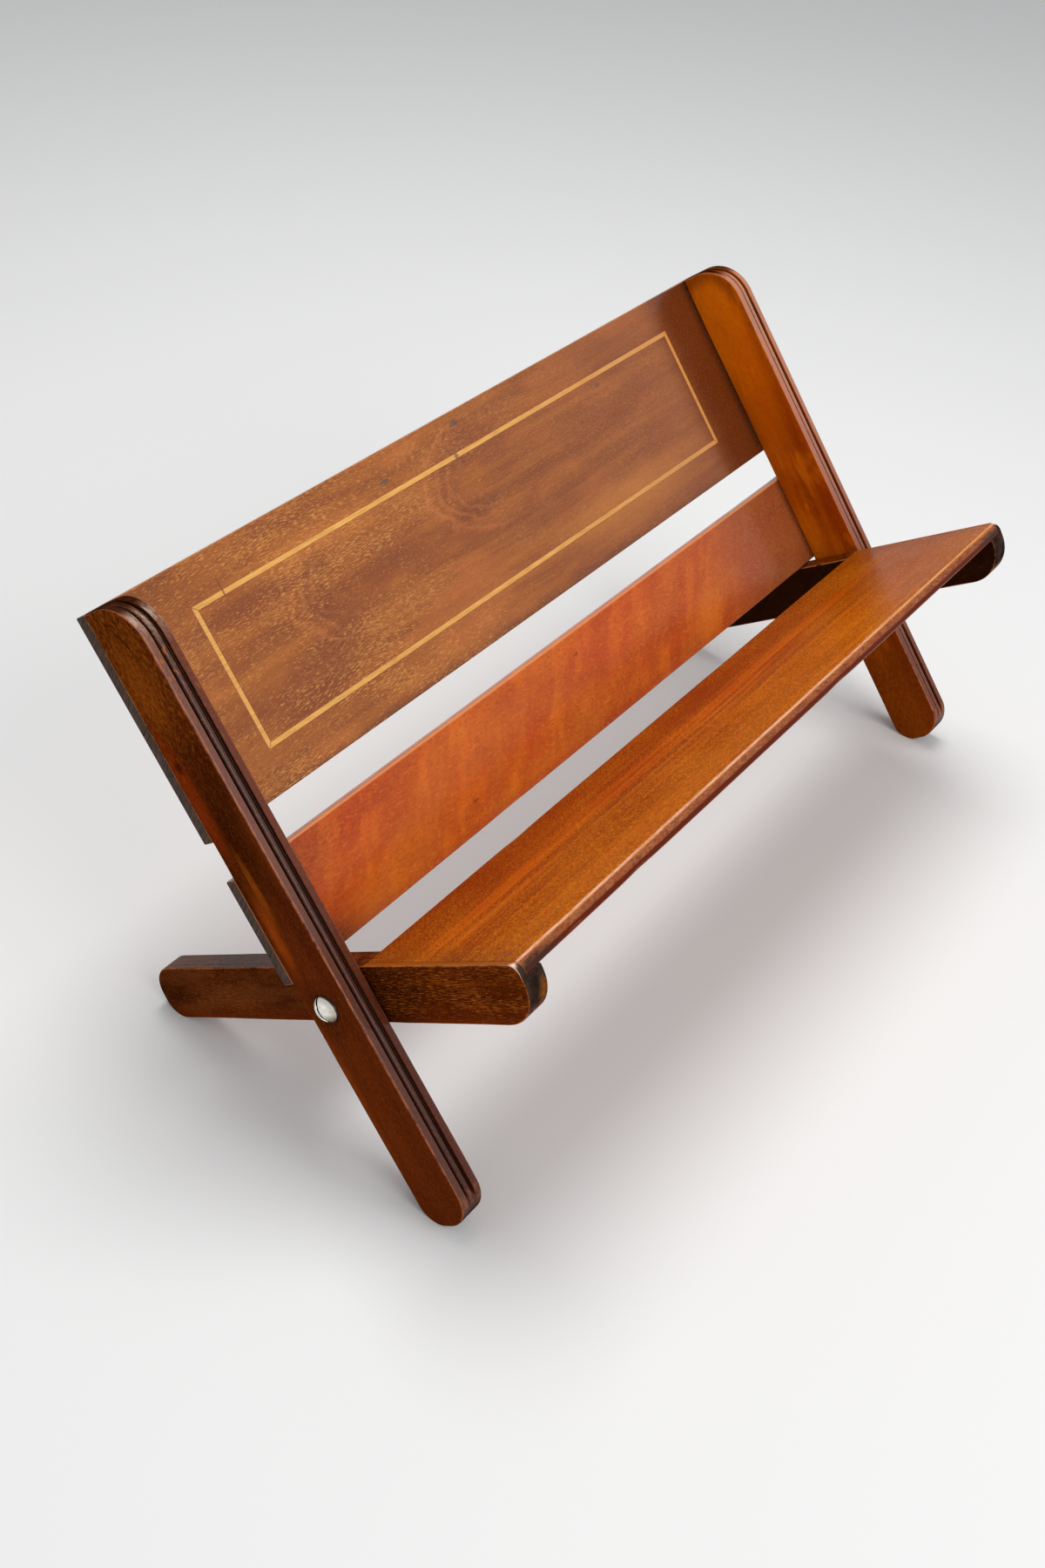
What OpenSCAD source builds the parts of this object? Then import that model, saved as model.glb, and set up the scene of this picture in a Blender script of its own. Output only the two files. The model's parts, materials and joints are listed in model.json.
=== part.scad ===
// Folding book stand: a reeded back frame and a shelf frame that cross on two pivot screws.
// Millimetres. +X runs along the width, -Y is the front, +Z is up, and Z = 0 is the table.

/* [Overall] */
// Width over the outer faces of the uprights
overall_w = 400; // [300:1:460]
// Angle between the back and the shelf when the stand is open
open_angle = 95; // [92:0.5:105]

/* [Uprights] */
// Thickness of an upright, across the stand
upright_t = 11.5; // [9:0.5:15]
// Depth of an upright, front edge to back edge
upright_d = 26; // [24:0.5:32]
// Length of an upright above the pivot
upright_top = 163; // [140:1:190]
// Length of an upright below the pivot
upright_foot = 96; // [80:1:115]
// Radius of the rounded front corner at the top
top_r = 18; // [8:0.5:22]
// Radius of the front corner of the foot
foot_front_r = 14; // [6:0.5:15]
// Radius of the back corner of the foot, which stands on the table
foot_back_r = 9; // [5:0.5:11]
// Depth of the flat that wear leaves under each of the four feet
foot_wear = 0.4; // [0.2:0.05:0.8]

/* [Reeding] */
// Width of the sunk band that holds the middle bead
reed_w = 4.8; // [4.4:0.1:6]
// Radius of the middle bead
bead_r = 1.5; // [1.2:0.1:1.8]
// Depth of the grooves beside the bead
groove_depth = 1.5; // [1:0.1:1.8]
// Drop of the bead's crown below the front edge
bead_drop = 0.2; // [0.1:0.05:0.4]

/* [Back boards] */
// Thickness of the upper panel and of the lower slat
board_t = 5.5; // [4:0.5:8]
// Height of the upper panel
panel_h = 92; // [70:1:105]
// Open gap between the upper panel and the lower slat
board_gap = 15.5; // [8:0.5:20]
// Radius worked on the front top edge of the lower slat
slat_edge_r = 1.5; // [0.5:0.1:2.5]

/* [Stringing] */
// Width of the inlaid string
string_w = 2.3; // [1.5:0.1:3]
// Depth of the inlaid string
string_t = 1.2; // [0.8:0.1:2]
// Distance of the string from each end of the panel
string_end = 41; // [30:1:60]
// Distance of the string from the panel's top and bottom edges
string_edge = 16.3; // [10:0.1:24]

/* [Arms] */
// Thickness of an arm, across the stand
arm_t = 10.5; // [8:0.5:13]
// Height of an arm
arm_h = 24; // [22:0.5:28]
// Height of an arm's top edge above the pivot
arm_above = 9.5; // [8:0.5:12]
// Length of an arm in front of the pivot
arm_front = 91; // [75:1:105]
// Length of an arm behind the pivot
arm_rear = 124; // [105:1:140]
// Radius of the top corner at the front end
front_top_r = 4.4; // [4.2:0.1:5.4]
// Radius of the bottom corner at the front end
front_low_r = 16.5; // [12:0.5:18]
// Least straight stretch kept between two rounded corners
end_flat = 0.6; // [0.4:0.1:1]
// Radius of the top corner at the rear end
rear_top_r = 12; // [6:0.5:12]
// Radius of the bottom corner at the rear end, which stands on the table
rear_bottom_r = 9; // [5:0.5:9]
// Side gap between an arm and its upright
arm_gap = 1.3; // [1:0.1:2]
// Gap between the folded shelf and the back boards
fold_gap = 2.3; // [1:0.1:4]
// Gap between the lower slat and the arms that stop it when open
stop_gap = 0.25; // [0.2:0.05:0.5]

/* [Shelf] */
// Thickness of the shelf board
shelf_t = 5.5; // [4:0.5:5.5]
// Distance of the shelf's back edge in front of the pivot
shelf_back = 13; // [11:0.5:20]
// Width of the lip that an arm keeps outside the shelf's end
lip_w = 2.6; // [1.5:0.1:4]
// Radius under the shelf's front edge
nose_under_r = 1; // [0.5:0.1:1.5]

/* [Pivot screws] */
// Diameter of the domed head
head_d = 10.6; // [8:0.1:12]
// Height of the domed head
head_h = 3.6; // [2.5:0.1:4.5]
// Width of the screwdriver slot
slot_w = 1.1; // [0.8:0.1:1.6]
// Depth of the screwdriver slot
slot_depth = 1.7; // [1:0.1:2]
// Turn of the slot away from the upright's length
slot_turn = 12; // [0:1:90]
// Diameter of the plain shank
shank_d = 4.8; // [4:0.1:6]
// Length of the screw that bites into an arm
bite = 7.5; // [5:0.5:7.5]
// Length of the screw's point
point = 2; // [1:0.5:3]
// Outer diameter of the spacer washer between upright and arm
washer_d = 12; // [9:0.5:16]

/* [Fixings] */
// Diameter of the countersunk heads behind the back boards
board_head_d = 6; // [5:0.1:7]
// Diameter of the board screws
board_screw_d = 3; // [2.5:0.1:3.5]
// Length of the board screws
board_screw_l = 18; // [14:1:20]
// Distance of the board screws from the boards' long edges
screw_edge = 11; // [8:0.5:15]
// Diameter of the pins through the shelf
pin_d = 1.3; // [1:0.1:1.6]
// Diameter of the pins' heads
pin_head_d = 2.2; // [1.8:0.1:3]
// Length of the pins
pin_l = 16; // [10:1:18]
// Number of pins at each end of the shelf
pin_count = 3; // [2:1:4]
// Distance of the outer pins from the shelf's front and back edges
pin_edge = 9; // [5:0.5:15]

/* [Fits] */
// Radial clearance of a pivot screw in its upright
pivot_fit = 0.06; // [0.02:0.01:0.1]
// Gap under a pivot screw's head
head_gap = 0.2; // [0.1:0.05:0.4]
// Gap between a spacer washer and its upright
washer_gap = 0.3; // [0.2:0.05:0.5]
// Clearance of fixings and of boards let into the wood
fit = 0.08; // [0.04:0.01:0.15]

/* [Hidden] */
$fn = 96;
over = 1;
mahogany_dark = [0.30, 0.13, 0.06];
mahogany_red = [0.52, 0.22, 0.09];
mahogany_pale = [0.50, 0.27, 0.15];
mahogany_gold = [0.58, 0.29, 0.09];
boxwood = [0.86, 0.62, 0.28];
nickel = [0.78, 0.77, 0.74];
brass = [0.72, 0.56, 0.26];
steel = [0.30, 0.28, 0.26];

half_w = overall_w / 2;
pivot_back = arm_above + fold_gap;
pivot_front = upright_d - pivot_back;
arm_below = arm_h - arm_above;
front_bottom_r = min(front_low_r, arm_h - front_top_r - end_flat);
rear_high_r = min(rear_top_r, arm_h - rear_bottom_r - end_flat);
foot_toe_r = min(foot_front_r, upright_d - foot_back_r - end_flat);
recline = open_angle - 90;

// The stand leans until the back corner of the feet and the rear corner of the arms share one level.
foot_y = pivot_back - foot_back_r;
foot_z = foot_back_r - upright_foot;
rear_y = arm_rear - rear_bottom_r;
rear_z = rear_bottom_r - arm_below;
level_cos = foot_z - rear_z * cos(recline) - rear_y * sin(recline);
level_sin = rear_y * cos(recline) - rear_z * sin(recline) - foot_y;
level_r = foot_back_r - rear_bottom_r;
lean = atan2(level_sin, level_cos) - acos(level_r / norm([level_cos, level_sin]));
slope = lean - recline;
pivot_z = foot_back_r + foot_y * sin(lean) - foot_z * cos(lean) - foot_wear;

// The origin is under the middle of the open stand, front to back.
nose_y = front_bottom_r - arm_front;
nose_z = front_bottom_r - arm_below;
front_y = nose_y * cos(slope) + nose_z * sin(slope) - front_bottom_r;
back_y = (pivot_back + board_t) * cos(lean) + upright_top * sin(lean);
mid_y = (front_y + back_y) / 2;

// Heights of the back boards above the pivot, along the uprights.
panel_low = upright_top - panel_h;
slat_top = panel_low - board_gap;
slat_low = (arm_above + (pivot_back + board_t) * sin(recline)) / cos(recline) + stop_gap;

// Places across the stand, measured on the left side.
upright_mid = upright_t / 2 - half_w;
upright_in = upright_t - half_w;
arm_out = upright_in + arm_gap;
arm_in = arm_out + arm_t;
shelf_end = arm_out + lip_w;
pin_x = (shelf_end + arm_in) / 2;
washer_t = arm_gap - washer_gap;

// The stringing's frame in the panel's face, about its own centre.
string_half_w = half_w - string_end;
string_half_h = panel_h / 2 - string_edge;
string_mid_z = upright_top - panel_h / 2;

// The shelf's span, front to back, and its pins.
shelf_front_y = -arm_front;
shelf_back_y = -shelf_back;
nose_top_r = min(front_top_r, shelf_t - nose_under_r - end_flat / 2);
pin_pitch = (shelf_back_y - shelf_front_y - 2 * pin_edge) / (pin_count - 1);
head_sink = (board_head_d - board_screw_d) / 2;
dome_r = (head_h * head_h + head_d * head_d / 4) / (2 * head_h);

// A piece drawn about the pivot line, tipped back by an angle and stood on the table.
module stood(angle) {
    translate([0, -mid_y, pivot_z])
        rotate([-angle, 0, 0])
            children();
}

// A piece drawn on the left, or its mirror image on the right.
module on_side(right) {
    if (right)
        mirror([1, 0, 0]) children();
    else
        children();
}

// A side outline, x to the back and y up, given a thickness across the stand.
module side_plate(from_x, thickness) {
    translate([from_x, 0, 0])
        rotate([90, 0, 90])
            linear_extrude(thickness)
                children();
}

// What a corner loses when it is rounded; sx and sy point into the wood.
module corner_waste(corner, sx, sy, r) {
    translate(corner)
        scale([sx, sy])
            difference() {
                translate([-over, -over]) square(r + over);
                translate([r, r]) circle(r);
            }
}

// A bar's outline with its own radius at each corner: low front, low back, high back, high front.
module eased_bar(low, high, radii) {
    corners = [low, [high[0], low[1]], high, [low[0], high[1]]];
    inward = [[1, 1], [-1, 1], [-1, -1], [1, -1]];
    difference() {
        translate(low) square(high - low);
        for (i = [0:3])
            if (radii[i] > 0)
                corner_waste(corners[i], inward[i][0], inward[i][1], radii[i]);
    }
}

// Everything below the table, which planes the worn flats under the feet.
module below_table() {
    translate([-overall_w, -overall_w, -overall_w])
        cube([2 * overall_w, 2 * overall_w, overall_w]);
}

// The sunk band of the reeding: x across the edge, y into the wood.
module reed_profile() {
    difference() {
        translate([-reed_w / 2, -over]) square([reed_w, groove_depth + over]);
        translate([0, bead_drop + bead_r]) circle(bead_r);
    }
}

// The reeding runs up the front edge, over the rounded corner and back along the top.
module reeding() {
    turn_y = top_r - pivot_front;
    turn_z = upright_top - top_r;
    translate([upright_mid, -pivot_front, -upright_foot - over])
        linear_extrude(upright_foot + over + turn_z)
            reed_profile();
    translate([upright_mid, turn_y, turn_z])
        rotate([0, 90, 0])
            rotate([0, 0, 180])
                rotate_extrude(angle = 90)
                    translate([top_r, 0])
                        rotate(90)
                            reed_profile();
    translate([upright_mid, turn_y, upright_top])
        rotate([-90, 0, 0])
            linear_extrude(pivot_back + over - turn_y)
                reed_profile();
}

// Places of the screws that hold a board to the left upright.
function board_screw_rows(low, high) = [low + screw_edge, high - screw_edge];

// One board screw, its axis along Y and its head at the board's back face.
module board_screw(grow) {
    r = board_screw_d / 2 + grow;
    head_r = board_head_d / 2 + grow;
    rotate([90, 0, 0]) {
        cylinder(r = r, h = board_screw_l + grow);
        cylinder(r1 = head_r, r2 = r, h = head_sink);
    }
}

module board_screws(low, high, grow) {
    for (z = board_screw_rows(low, high))
        translate([upright_mid, pivot_back + board_t, z])
            board_screw(grow);
}

// The slot across a board screw's head.
module board_screw_slots(low, high) {
    for (z = board_screw_rows(low, high))
        translate([upright_mid - board_head_d, pivot_back + board_t - head_sink / 2, z - head_sink / 4])
            cube([2 * board_head_d, head_sink, head_sink / 2]);
}

module fixing_screws(right, low, high) {
    color(brass)
        stood(lean)
            on_side(right)
                difference() {
                    board_screws(low, high, 0);
                    board_screw_slots(low, high);
                }
}

module upright(right) {
    color(mahogany_dark)
        difference() {
            stood(lean)
                on_side(right)
                    difference() {
                        side_plate(-half_w, upright_t)
                            eased_bar(
                                [-pivot_front, -upright_foot], [pivot_back, upright_top],
                                [foot_toe_r, foot_back_r, 0, top_r]
                            );
                        reeding();
                        translate([-half_w - over, 0, 0])
                            rotate([0, 90, 0])
                                cylinder(d = shank_d + 2 * pivot_fit, h = upright_t + 2 * over);
                        board_screws(panel_low, upright_top, fit);
                        board_screws(slat_low, slat_top, fit);
                    }
            below_table();
        }
}

// A back board between two heights, with its long edges' outline, drilled at both ends.
module back_board(low, high, edge_r) {
    difference() {
        side_plate(-half_w, overall_w)
            eased_bar([pivot_back, low], [pivot_back + board_t, high], [0, 0, 0, edge_r]);
        for (right = [false, true])
            on_side(right)
                board_screws(low, high, fit);
    }
}

// One mitred string along the top or bottom (across = true) or at an end of the frame.
module string_outline(across, sign) {
    outer = [string_half_w, string_half_h];
    inner = outer - [string_w, string_w];
    points = across
        ? [[-outer[0], outer[1]], [outer[0], outer[1]], [inner[0], inner[1]], [-inner[0], inner[1]]]
        : [[outer[0], -outer[1]], [outer[0], outer[1]], [inner[0], inner[1]], [inner[0], -inner[1]]];
    mirror([across || sign > 0 ? 0 : 1, 0])
        mirror([0, across && sign < 0 ? 1 : 0])
            polygon(points);
}

// Something flat let into the panel's face to a depth, and raised above the face by an amount.
module let_in(depth, raised) {
    translate([0, pivot_back + depth, string_mid_z])
        rotate([90, 0, 0])
            linear_extrude(depth + raised)
                children();
}

module string(across, sign) {
    color(boxwood)
        stood(lean)
            let_in(string_t, 0)
                string_outline(across, sign);
}

module upper_back_panel() {
    color(mahogany_pale)
        stood(lean)
            difference() {
                back_board(panel_low, upright_top, 0);
                let_in(string_t, over)
                    difference() {
                        square(2 * [string_half_w, string_half_h], center = true);
                        square(2 * [string_half_w - string_w, string_half_h - string_w], center = true);
                    }
            }
}

module lower_back_slat() {
    color(mahogany_red)
        stood(lean)
            back_board(slat_low, slat_top, slat_edge_r);
}

// The pins at the shelf's left end, heads level with the shelf's top.
module shelf_pin_set(grow) {
    for (i = [0:pin_count - 1])
        translate([pin_x, shelf_front_y + pin_edge + i * pin_pitch, arm_above - pin_l - grow]) {
            cylinder(d = pin_d + 2 * grow, h = pin_l + grow);
            translate([0, 0, pin_l + grow - pin_head_d / 2])
                cylinder(d = pin_head_d + 2 * grow, h = pin_head_d / 2);
        }
}

module shelf_pins(right) {
    color(steel)
        stood(slope)
            on_side(right)
                shelf_pin_set(0);
}

module arm(right) {
    color(mahogany_dark)
        difference() {
            stood(slope)
                on_side(right)
                    difference() {
                        side_plate(arm_out, arm_t)
                            eased_bar(
                                [-arm_front, -arm_below], [arm_rear, arm_above],
                                [front_bottom_r, rear_bottom_r, rear_high_r, front_top_r]
                            );
                        translate([shelf_end - fit, shelf_front_y - over, arm_above - shelf_t])
                            cube([arm_t, shelf_back_y + fit + over - shelf_front_y, shelf_t + over]);
                        pivot_thread(fit);
                        shelf_pin_set(fit);
                    }
            below_table();
        }
}

module shelf() {
    color(mahogany_gold)
        stood(slope)
            difference() {
                side_plate(shelf_end, -2 * shelf_end)
                    eased_bar(
                        [shelf_front_y, arm_above - shelf_t], [shelf_back_y, arm_above],
                        [nose_under_r, 0, 0, nose_top_r]
                    );
                for (right = [false, true])
                    on_side(right)
                        shelf_pin_set(fit);
            }
}

// The part of a pivot screw that bites into the arm, with its point.
module pivot_thread(grow) {
    translate([arm_out - over, 0, 0])
        rotate([0, 90, 0]) {
            cylinder(d = shank_d + 2 * grow, h = bite - point + over + grow);
            translate([0, 0, bite - point + over + grow])
                cylinder(d1 = shank_d + 2 * grow, d2 = 0, h = point);
        }
}

// The domed head, standing out of the left upright's outer face.
module pivot_head() {
    translate([-half_w - head_gap, 0, 0])
        rotate([0, -90, 0])
            difference() {
                intersection() {
                    translate([0, 0, head_h - dome_r]) sphere(dome_r);
                    cylinder(d = head_d, h = head_h);
                }
                rotate([0, 0, slot_turn])
                    translate([-head_d, -slot_w / 2, head_h - slot_depth])
                        cube([2 * head_d, slot_w, slot_depth + over]);
            }
}

module pivot_screw(right) {
    color(nickel)
        stood(slope)
            on_side(right) {
                pivot_head();
                translate([-half_w - head_gap, 0, 0])
                    rotate([0, 90, 0])
                        cylinder(d = shank_d, h = arm_out + half_w + head_gap);
                pivot_thread(0);
            }
}

module spacer_washer(right) {
    color(brass)
        stood(slope)
            on_side(right)
                translate([arm_out - washer_t, 0, 0])
                    rotate([0, 90, 0])
                        difference() {
                            cylinder(d = washer_d, h = washer_t);
                            translate([0, 0, -over])
                                cylinder(d = shank_d + 2 * fit, h = washer_t + 2 * over);
                        }
}

upright(false);  // left_upright
upright(true);  // right_upright
upper_back_panel();
lower_back_slat();
string(true, 1);  // inlay_top
string(true, -1);  // inlay_bottom
string(false, -1);  // inlay_left
string(false, 1);  // inlay_right
arm(false);  // left_arm
arm(true);  // right_arm
shelf();
pivot_screw(false);  // left_pivot_screw
pivot_screw(true);  // right_pivot_screw
spacer_washer(false);  // left_spacer_washer
spacer_washer(true);  // right_spacer_washer
fixing_screws(false, panel_low, upright_top);  // left_panel_screws
fixing_screws(true, panel_low, upright_top);  // right_panel_screws
fixing_screws(false, slat_low, slat_top);  // left_slat_screws
fixing_screws(true, slat_low, slat_top);  // right_slat_screws
shelf_pins(false);  // left_shelf_pins
shelf_pins(true);  // right_shelf_pins
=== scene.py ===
import json
import math
from functools import reduce
from types import SimpleNamespace

import bmesh
import bpy
import numpy as np
from mathutils import Matrix, Vector


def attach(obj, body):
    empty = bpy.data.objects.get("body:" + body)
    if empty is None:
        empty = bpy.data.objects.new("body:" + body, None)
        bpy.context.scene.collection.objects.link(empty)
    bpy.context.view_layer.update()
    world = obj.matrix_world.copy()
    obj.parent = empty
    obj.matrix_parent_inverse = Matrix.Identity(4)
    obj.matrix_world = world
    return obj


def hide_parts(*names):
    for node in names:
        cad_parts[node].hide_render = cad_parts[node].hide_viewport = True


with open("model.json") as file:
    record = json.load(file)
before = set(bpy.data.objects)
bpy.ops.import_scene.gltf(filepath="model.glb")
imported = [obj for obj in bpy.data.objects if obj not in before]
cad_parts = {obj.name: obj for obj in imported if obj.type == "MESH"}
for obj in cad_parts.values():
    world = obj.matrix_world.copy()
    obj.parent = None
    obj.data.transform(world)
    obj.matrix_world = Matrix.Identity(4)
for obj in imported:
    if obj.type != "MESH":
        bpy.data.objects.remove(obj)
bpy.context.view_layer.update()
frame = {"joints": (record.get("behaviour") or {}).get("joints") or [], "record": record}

MM = 0.001

# Sizes in millimetres, the same as the solids'.
HALF_W = 200
UPRIGHT_T, UPRIGHT_D, UPRIGHT_TOP, UPRIGHT_FOOT = 11.5, 26, 163, 96
UPRIGHT_IN = HALF_W - UPRIGHT_T
UPRIGHT_X = UPRIGHT_T / 2 - HALF_W
TOP_R, TOE_R, HEEL_R = 18, 14, 9
PIVOT_BACK = 11.8
PIVOT_FRONT = UPRIGHT_D - PIVOT_BACK
REED_W, BEAD_R, BEAD_DROP, GROOVE_DEPTH = 4.8, 1.5, 0.2, 1.5
BOARD_T, PANEL_LOW, SLAT_TOP, SLAT_LOW = 5.5, 71, 55.5, 11.3
SLAT_EDGE_R = 1.5
STRING_W, STRING_T, STRING_END, STRING_EDGE = 2.3, 1.2, 41, 16.3
ARM_GAP = 1.3
ARM_T, ARM_ABOVE, ARM_BELOW, ARM_FRONT, ARM_REAR = 10.5, 9.5, 14.5, 91, 124
ARM_RADII = (16.5, 9, 12, 4.4)
ARM_OUT = UPRIGHT_T + ARM_GAP - HALF_W
SHELF_T, SHELF_BACK, LIP_W = 5.5, 13, 2.6
NOSE_R, NOSE_UNDER_R = 4.2, 1
SCREW_R, SCREW_HEAD_R, SCREW_EDGE = 1.5, 3, 11
PIN_HEAD_R, PIN_EDGE, PIN_COUNT = 1.1, 9, 3
FIT = 0.08

# The pivot screw as it is seen, also in millimetres.
HEAD_R, HEAD_H, HEAD_GAP = 5.7, 3.6, 0.2
SLOT_W, SLOT_DEPTH, SLOT_TURN, SLOT_EASE = 1.1, 1.7, math.radians(12), 0.12
SHANK_R, SHANK_L, POINT_L, POINT_R = 2.4, 18.5, 2, 0.05

# Eased edges, wear and working distances of the visible pieces, in millimetres.
BAR_EASE, BACK_R, BOARD_EASE, SHELF_EASE, SHELF_END_EASE = 0.7, 0.5, 0.5, 0.4, 0.3
STRING_EASE, STRING_SOIL, STRING_GAP = 0.12, 0.14, 0.02
HOLLOW, SLAT_DENT, SHELF_DENT = 0.05, 0.08, 0.15
WALL_OUT, WALL_RUN, CROWN_H, CROWN_W = 0.16, 0.24, 0.12, 1.5
LIP_IN, LIP_OUT, LIP_CLEAR = 0.12, 0.2, 0.3
LAP_RUN, LAP_EASE, STEP = 0.3, 0.12, 0.01
TOUCH = 0.01
TOOL_CLEAR, TOOL_PAST = 0.5, 1

# How worn edges are: shares, and a factor for the shelf's nose.
RIM_WORN, REED_WORN, REED_END_WORN, LAP_WORN, BOARD_WORN, NOSE_WORN = 0.35, 0.25, 0.6, 0.6, 0.8, 1.9

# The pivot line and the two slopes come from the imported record.
JOINT = frame["joints"][0]
PIVOT = np.array(JOINT["pos_m"])
SHELF_UP = next(m for m in frame["record"]["mounts"] if m["name"] == "shelf_face")["axis"]
SLOPE = math.atan2(SHELF_UP[1], SHELF_UP[2])
LEAN = SLOPE + math.radians(JOINT["range_deg"][1] - 90)


def tipped(p, angle):
    """Points turned back about X by an angle."""
    c, s = math.cos(angle), math.sin(angle)
    return np.stack([p[..., 0], p[..., 1] * c + p[..., 2] * s, p[..., 2] * c - p[..., 1] * s], -1)


def stood(points, angle):
    """Millimetres about the pivot line, tipped back by an angle and placed in the row frame."""
    return tipped(np.asarray(points, float) * MM, angle) + PIVOT


RIPPLE_PITCH, RIPPLE_TURN, RIPPLE_HEIGHT = (0.7, 1.3), 6.28, 1.8


def ripple(t, seed, base, waves=5):
    """A smooth repeatable wobble of about -1 to 1 along a length."""
    t = np.asarray(t, float)
    draw = np.random.default_rng(seed)
    total = np.zeros_like(t)
    for k in range(1, waves + 1):
        total += np.sin(t * base * k * draw.uniform(*RIPPLE_PITCH) + draw.uniform(0, RIPPLE_TURN)) / k
    return total / RIPPLE_HEIGHT


FEWEST_ARC_POINTS, FULL_ARC_R = 4, 4


def bar_outline(low, high, radii, step=3, arc=15):
    """A bar's side outline with rounded corners: points, outward normals, a stretch number per point.
    Even stretches are the corners, from low front round by low back; odd ones are the edges after them."""
    centres = [
        (low[0] + radii[0], low[1] + radii[0]), (high[0] - radii[1], low[1] + radii[1]),
        (high[0] - radii[2], high[1] - radii[2]), (low[0] + radii[3], high[1] - radii[3]),
    ]
    points, normals, stretch = [], [], []
    for i, (centre, r) in enumerate(zip(centres, radii)):
        count = max(FEWEST_ARC_POINTS, int(arc * min(1, r / FULL_ARC_R)) + 1)
        for a in np.linspace(math.pi + i * math.pi / 2, math.pi * 1.5 + i * math.pi / 2, count):
            n = np.array([math.cos(a), math.sin(a)])
            points.append(np.array(centre) + r * n)
            normals.append(n)
            stretch.append(2 * i)
        end = points[-1]
        goal = np.array(centres[(i + 1) % 4]) + radii[(i + 1) % 4] * normals[-1]
        count = int(np.linalg.norm(goal - end) / step)
        for k in range(1, count):
            points.append(end + (goal - end) * k / count)
            normals.append(normals[-1])
            stretch.append(2 * i + 1)
    return np.array(points), np.array(normals), np.array(stretch)


def new_object(name, data):
    made = bpy.data.objects.new(name, data)
    bpy.context.scene.collection.objects.link(made)
    return made


def new_piece(mesh, body, slot, material, *nodes):
    """A piece with its mesh's name."""
    piece = new_object(mesh.name, mesh)
    mesh.materials.append(material)
    mesh.shade_smooth()
    mesh.set_sharp_from_angle(angle=math.radians(40))
    piece.modifiers.new("normals", "WEIGHTED_NORMAL").keep_sharp = True
    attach(piece, body)
    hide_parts(*nodes)


def set_attribute(mesh, name, values):
    attribute = mesh.attributes.new(name, "FLOAT", "POINT")
    attribute.data.foreach_set("value", np.asarray(values, np.float32).ravel())


def loft(name, rings, flip=False, **attributes):
    """A closed skin over rings of equal counts; attributes are one number per point."""
    count, n = rings.shape[:2]
    index = np.arange(count * n).reshape(count, n)
    step = np.roll(index, -1, axis=1)
    quads = np.stack([index[:-1], step[:-1], step[1:], index[1:]], -1).reshape(-1, 4)
    faces = quads.tolist() + [index[0][::-1].tolist(), index[-1].tolist()]
    if flip:
        faces = [f[::-1] for f in faces]
    mesh = bpy.data.meshes.new(name)
    mesh.from_pydata(rings.reshape(-1, 3).tolist(), [], faces)
    for key, values in attributes.items():
        set_attribute(mesh, key, values)
    mesh.update()
    return mesh


def low_edge(x, r, steps=4):
    """Rows over a rounded edge from x inward: place, how far the outline shrinks, wear."""
    a = np.linspace(0, math.pi / 2, steps + 1)
    worn = np.sin(2 * a)
    worn[0] = worn[-1] = RIM_WORN
    return list(zip(x + r * (1 - np.cos(a)), r * (1 - np.sin(a)), worn))


def high_edge(x, r, steps=4):
    """The same up to an edge at x."""
    return [(x - i, shrink, worn) for i, shrink, worn in low_edge(0, r, steps)[::-1]]


def row_points(x, ring):
    return np.column_stack([np.full(len(ring), x), ring])


# Shapes.

EASE_WANDER, EASE_RIPPLE, HOLLOW_RIPPLE, HOLLOW_SEED = 0.35, 0.07, 0.02, 5


def reed_depth(x):
    """Depth of the reeding at a place across an upright's edge, measured from its middle."""
    a = np.abs(x)
    half = REED_W / 2
    bead = BEAD_DROP + BEAD_R - np.sqrt(np.maximum(BEAD_R**2 - a**2, 0))
    sunk = np.where(a < BEAD_R, np.minimum(bead, GROOVE_DEPTH), GROOVE_DEPTH)
    wall = np.clip((half + WALL_OUT - a) / WALL_RUN, 0, 1)
    wall = wall * wall * (3 - 2 * wall)
    crown = CROWN_H * np.clip((a - half - CROWN_W) / CROWN_W, -1, 1) ** 2
    return np.where(a < half + WALL_OUT, np.maximum(sunk * wall, crown * (1 - wall)), crown)


def on_table(points):
    """Feet are worn flat where they meet the table."""
    points[..., 2] = np.maximum(points[..., 2], 0)
    return points


def edge_lengths(points):
    return np.cumsum(np.linalg.norm(points - np.roll(points, 1, axis=0), axis=1))


def bar_skin(name, rings, shift, right, angle, **attributes):
    """A bar's skin from its rows, shifted into place and mirrored for the right side."""
    rings = np.array(rings)
    rings[..., 0] += shift
    if right:
        rings[..., 0] *= -1
    return loft(name, on_table(stood(rings, angle)), right, **attributes)


def softened(along, seed, far_side, shrink):
    """How far a bar's outline is drawn in: a wandering eased edge and shallow hollows."""
    hollows = HOLLOW * np.maximum(0, ripple(along, seed + HOLLOW_SEED, HOLLOW_RIPPLE))
    return shrink * (1 + EASE_WANDER * ripple(along, seed + far_side, EASE_RIPPLE)) + hollows


FLANK_ROWS, WALL_ROWS, BEAD_ROWS = 5, 6, 25
TOE_LEAN, TOE_FRONT, SHALLOW = 0.3, (-0.995, -0.86), 0.5


def upright_rows():
    """Rows across an upright, closest at the groove walls."""
    half, lip = UPRIGHT_T / 2, REED_W / 2
    inner = half - BAR_EASE
    wall = np.linspace(lip - LIP_IN, lip + LIP_OUT, WALL_ROWS)
    flank = np.linspace(lip + LIP_CLEAR, inner, FLANK_ROWS)[:-1]
    bead = np.linspace(LIP_OUT - lip, lip - LIP_OUT, BEAD_ROWS)
    across = np.concatenate([-flank[::-1], -wall[::-1], bead, wall, flank])
    return low_edge(-half, BAR_EASE) + [(x, 0, 0) for x in across] + high_edge(half, BAR_EASE)


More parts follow.
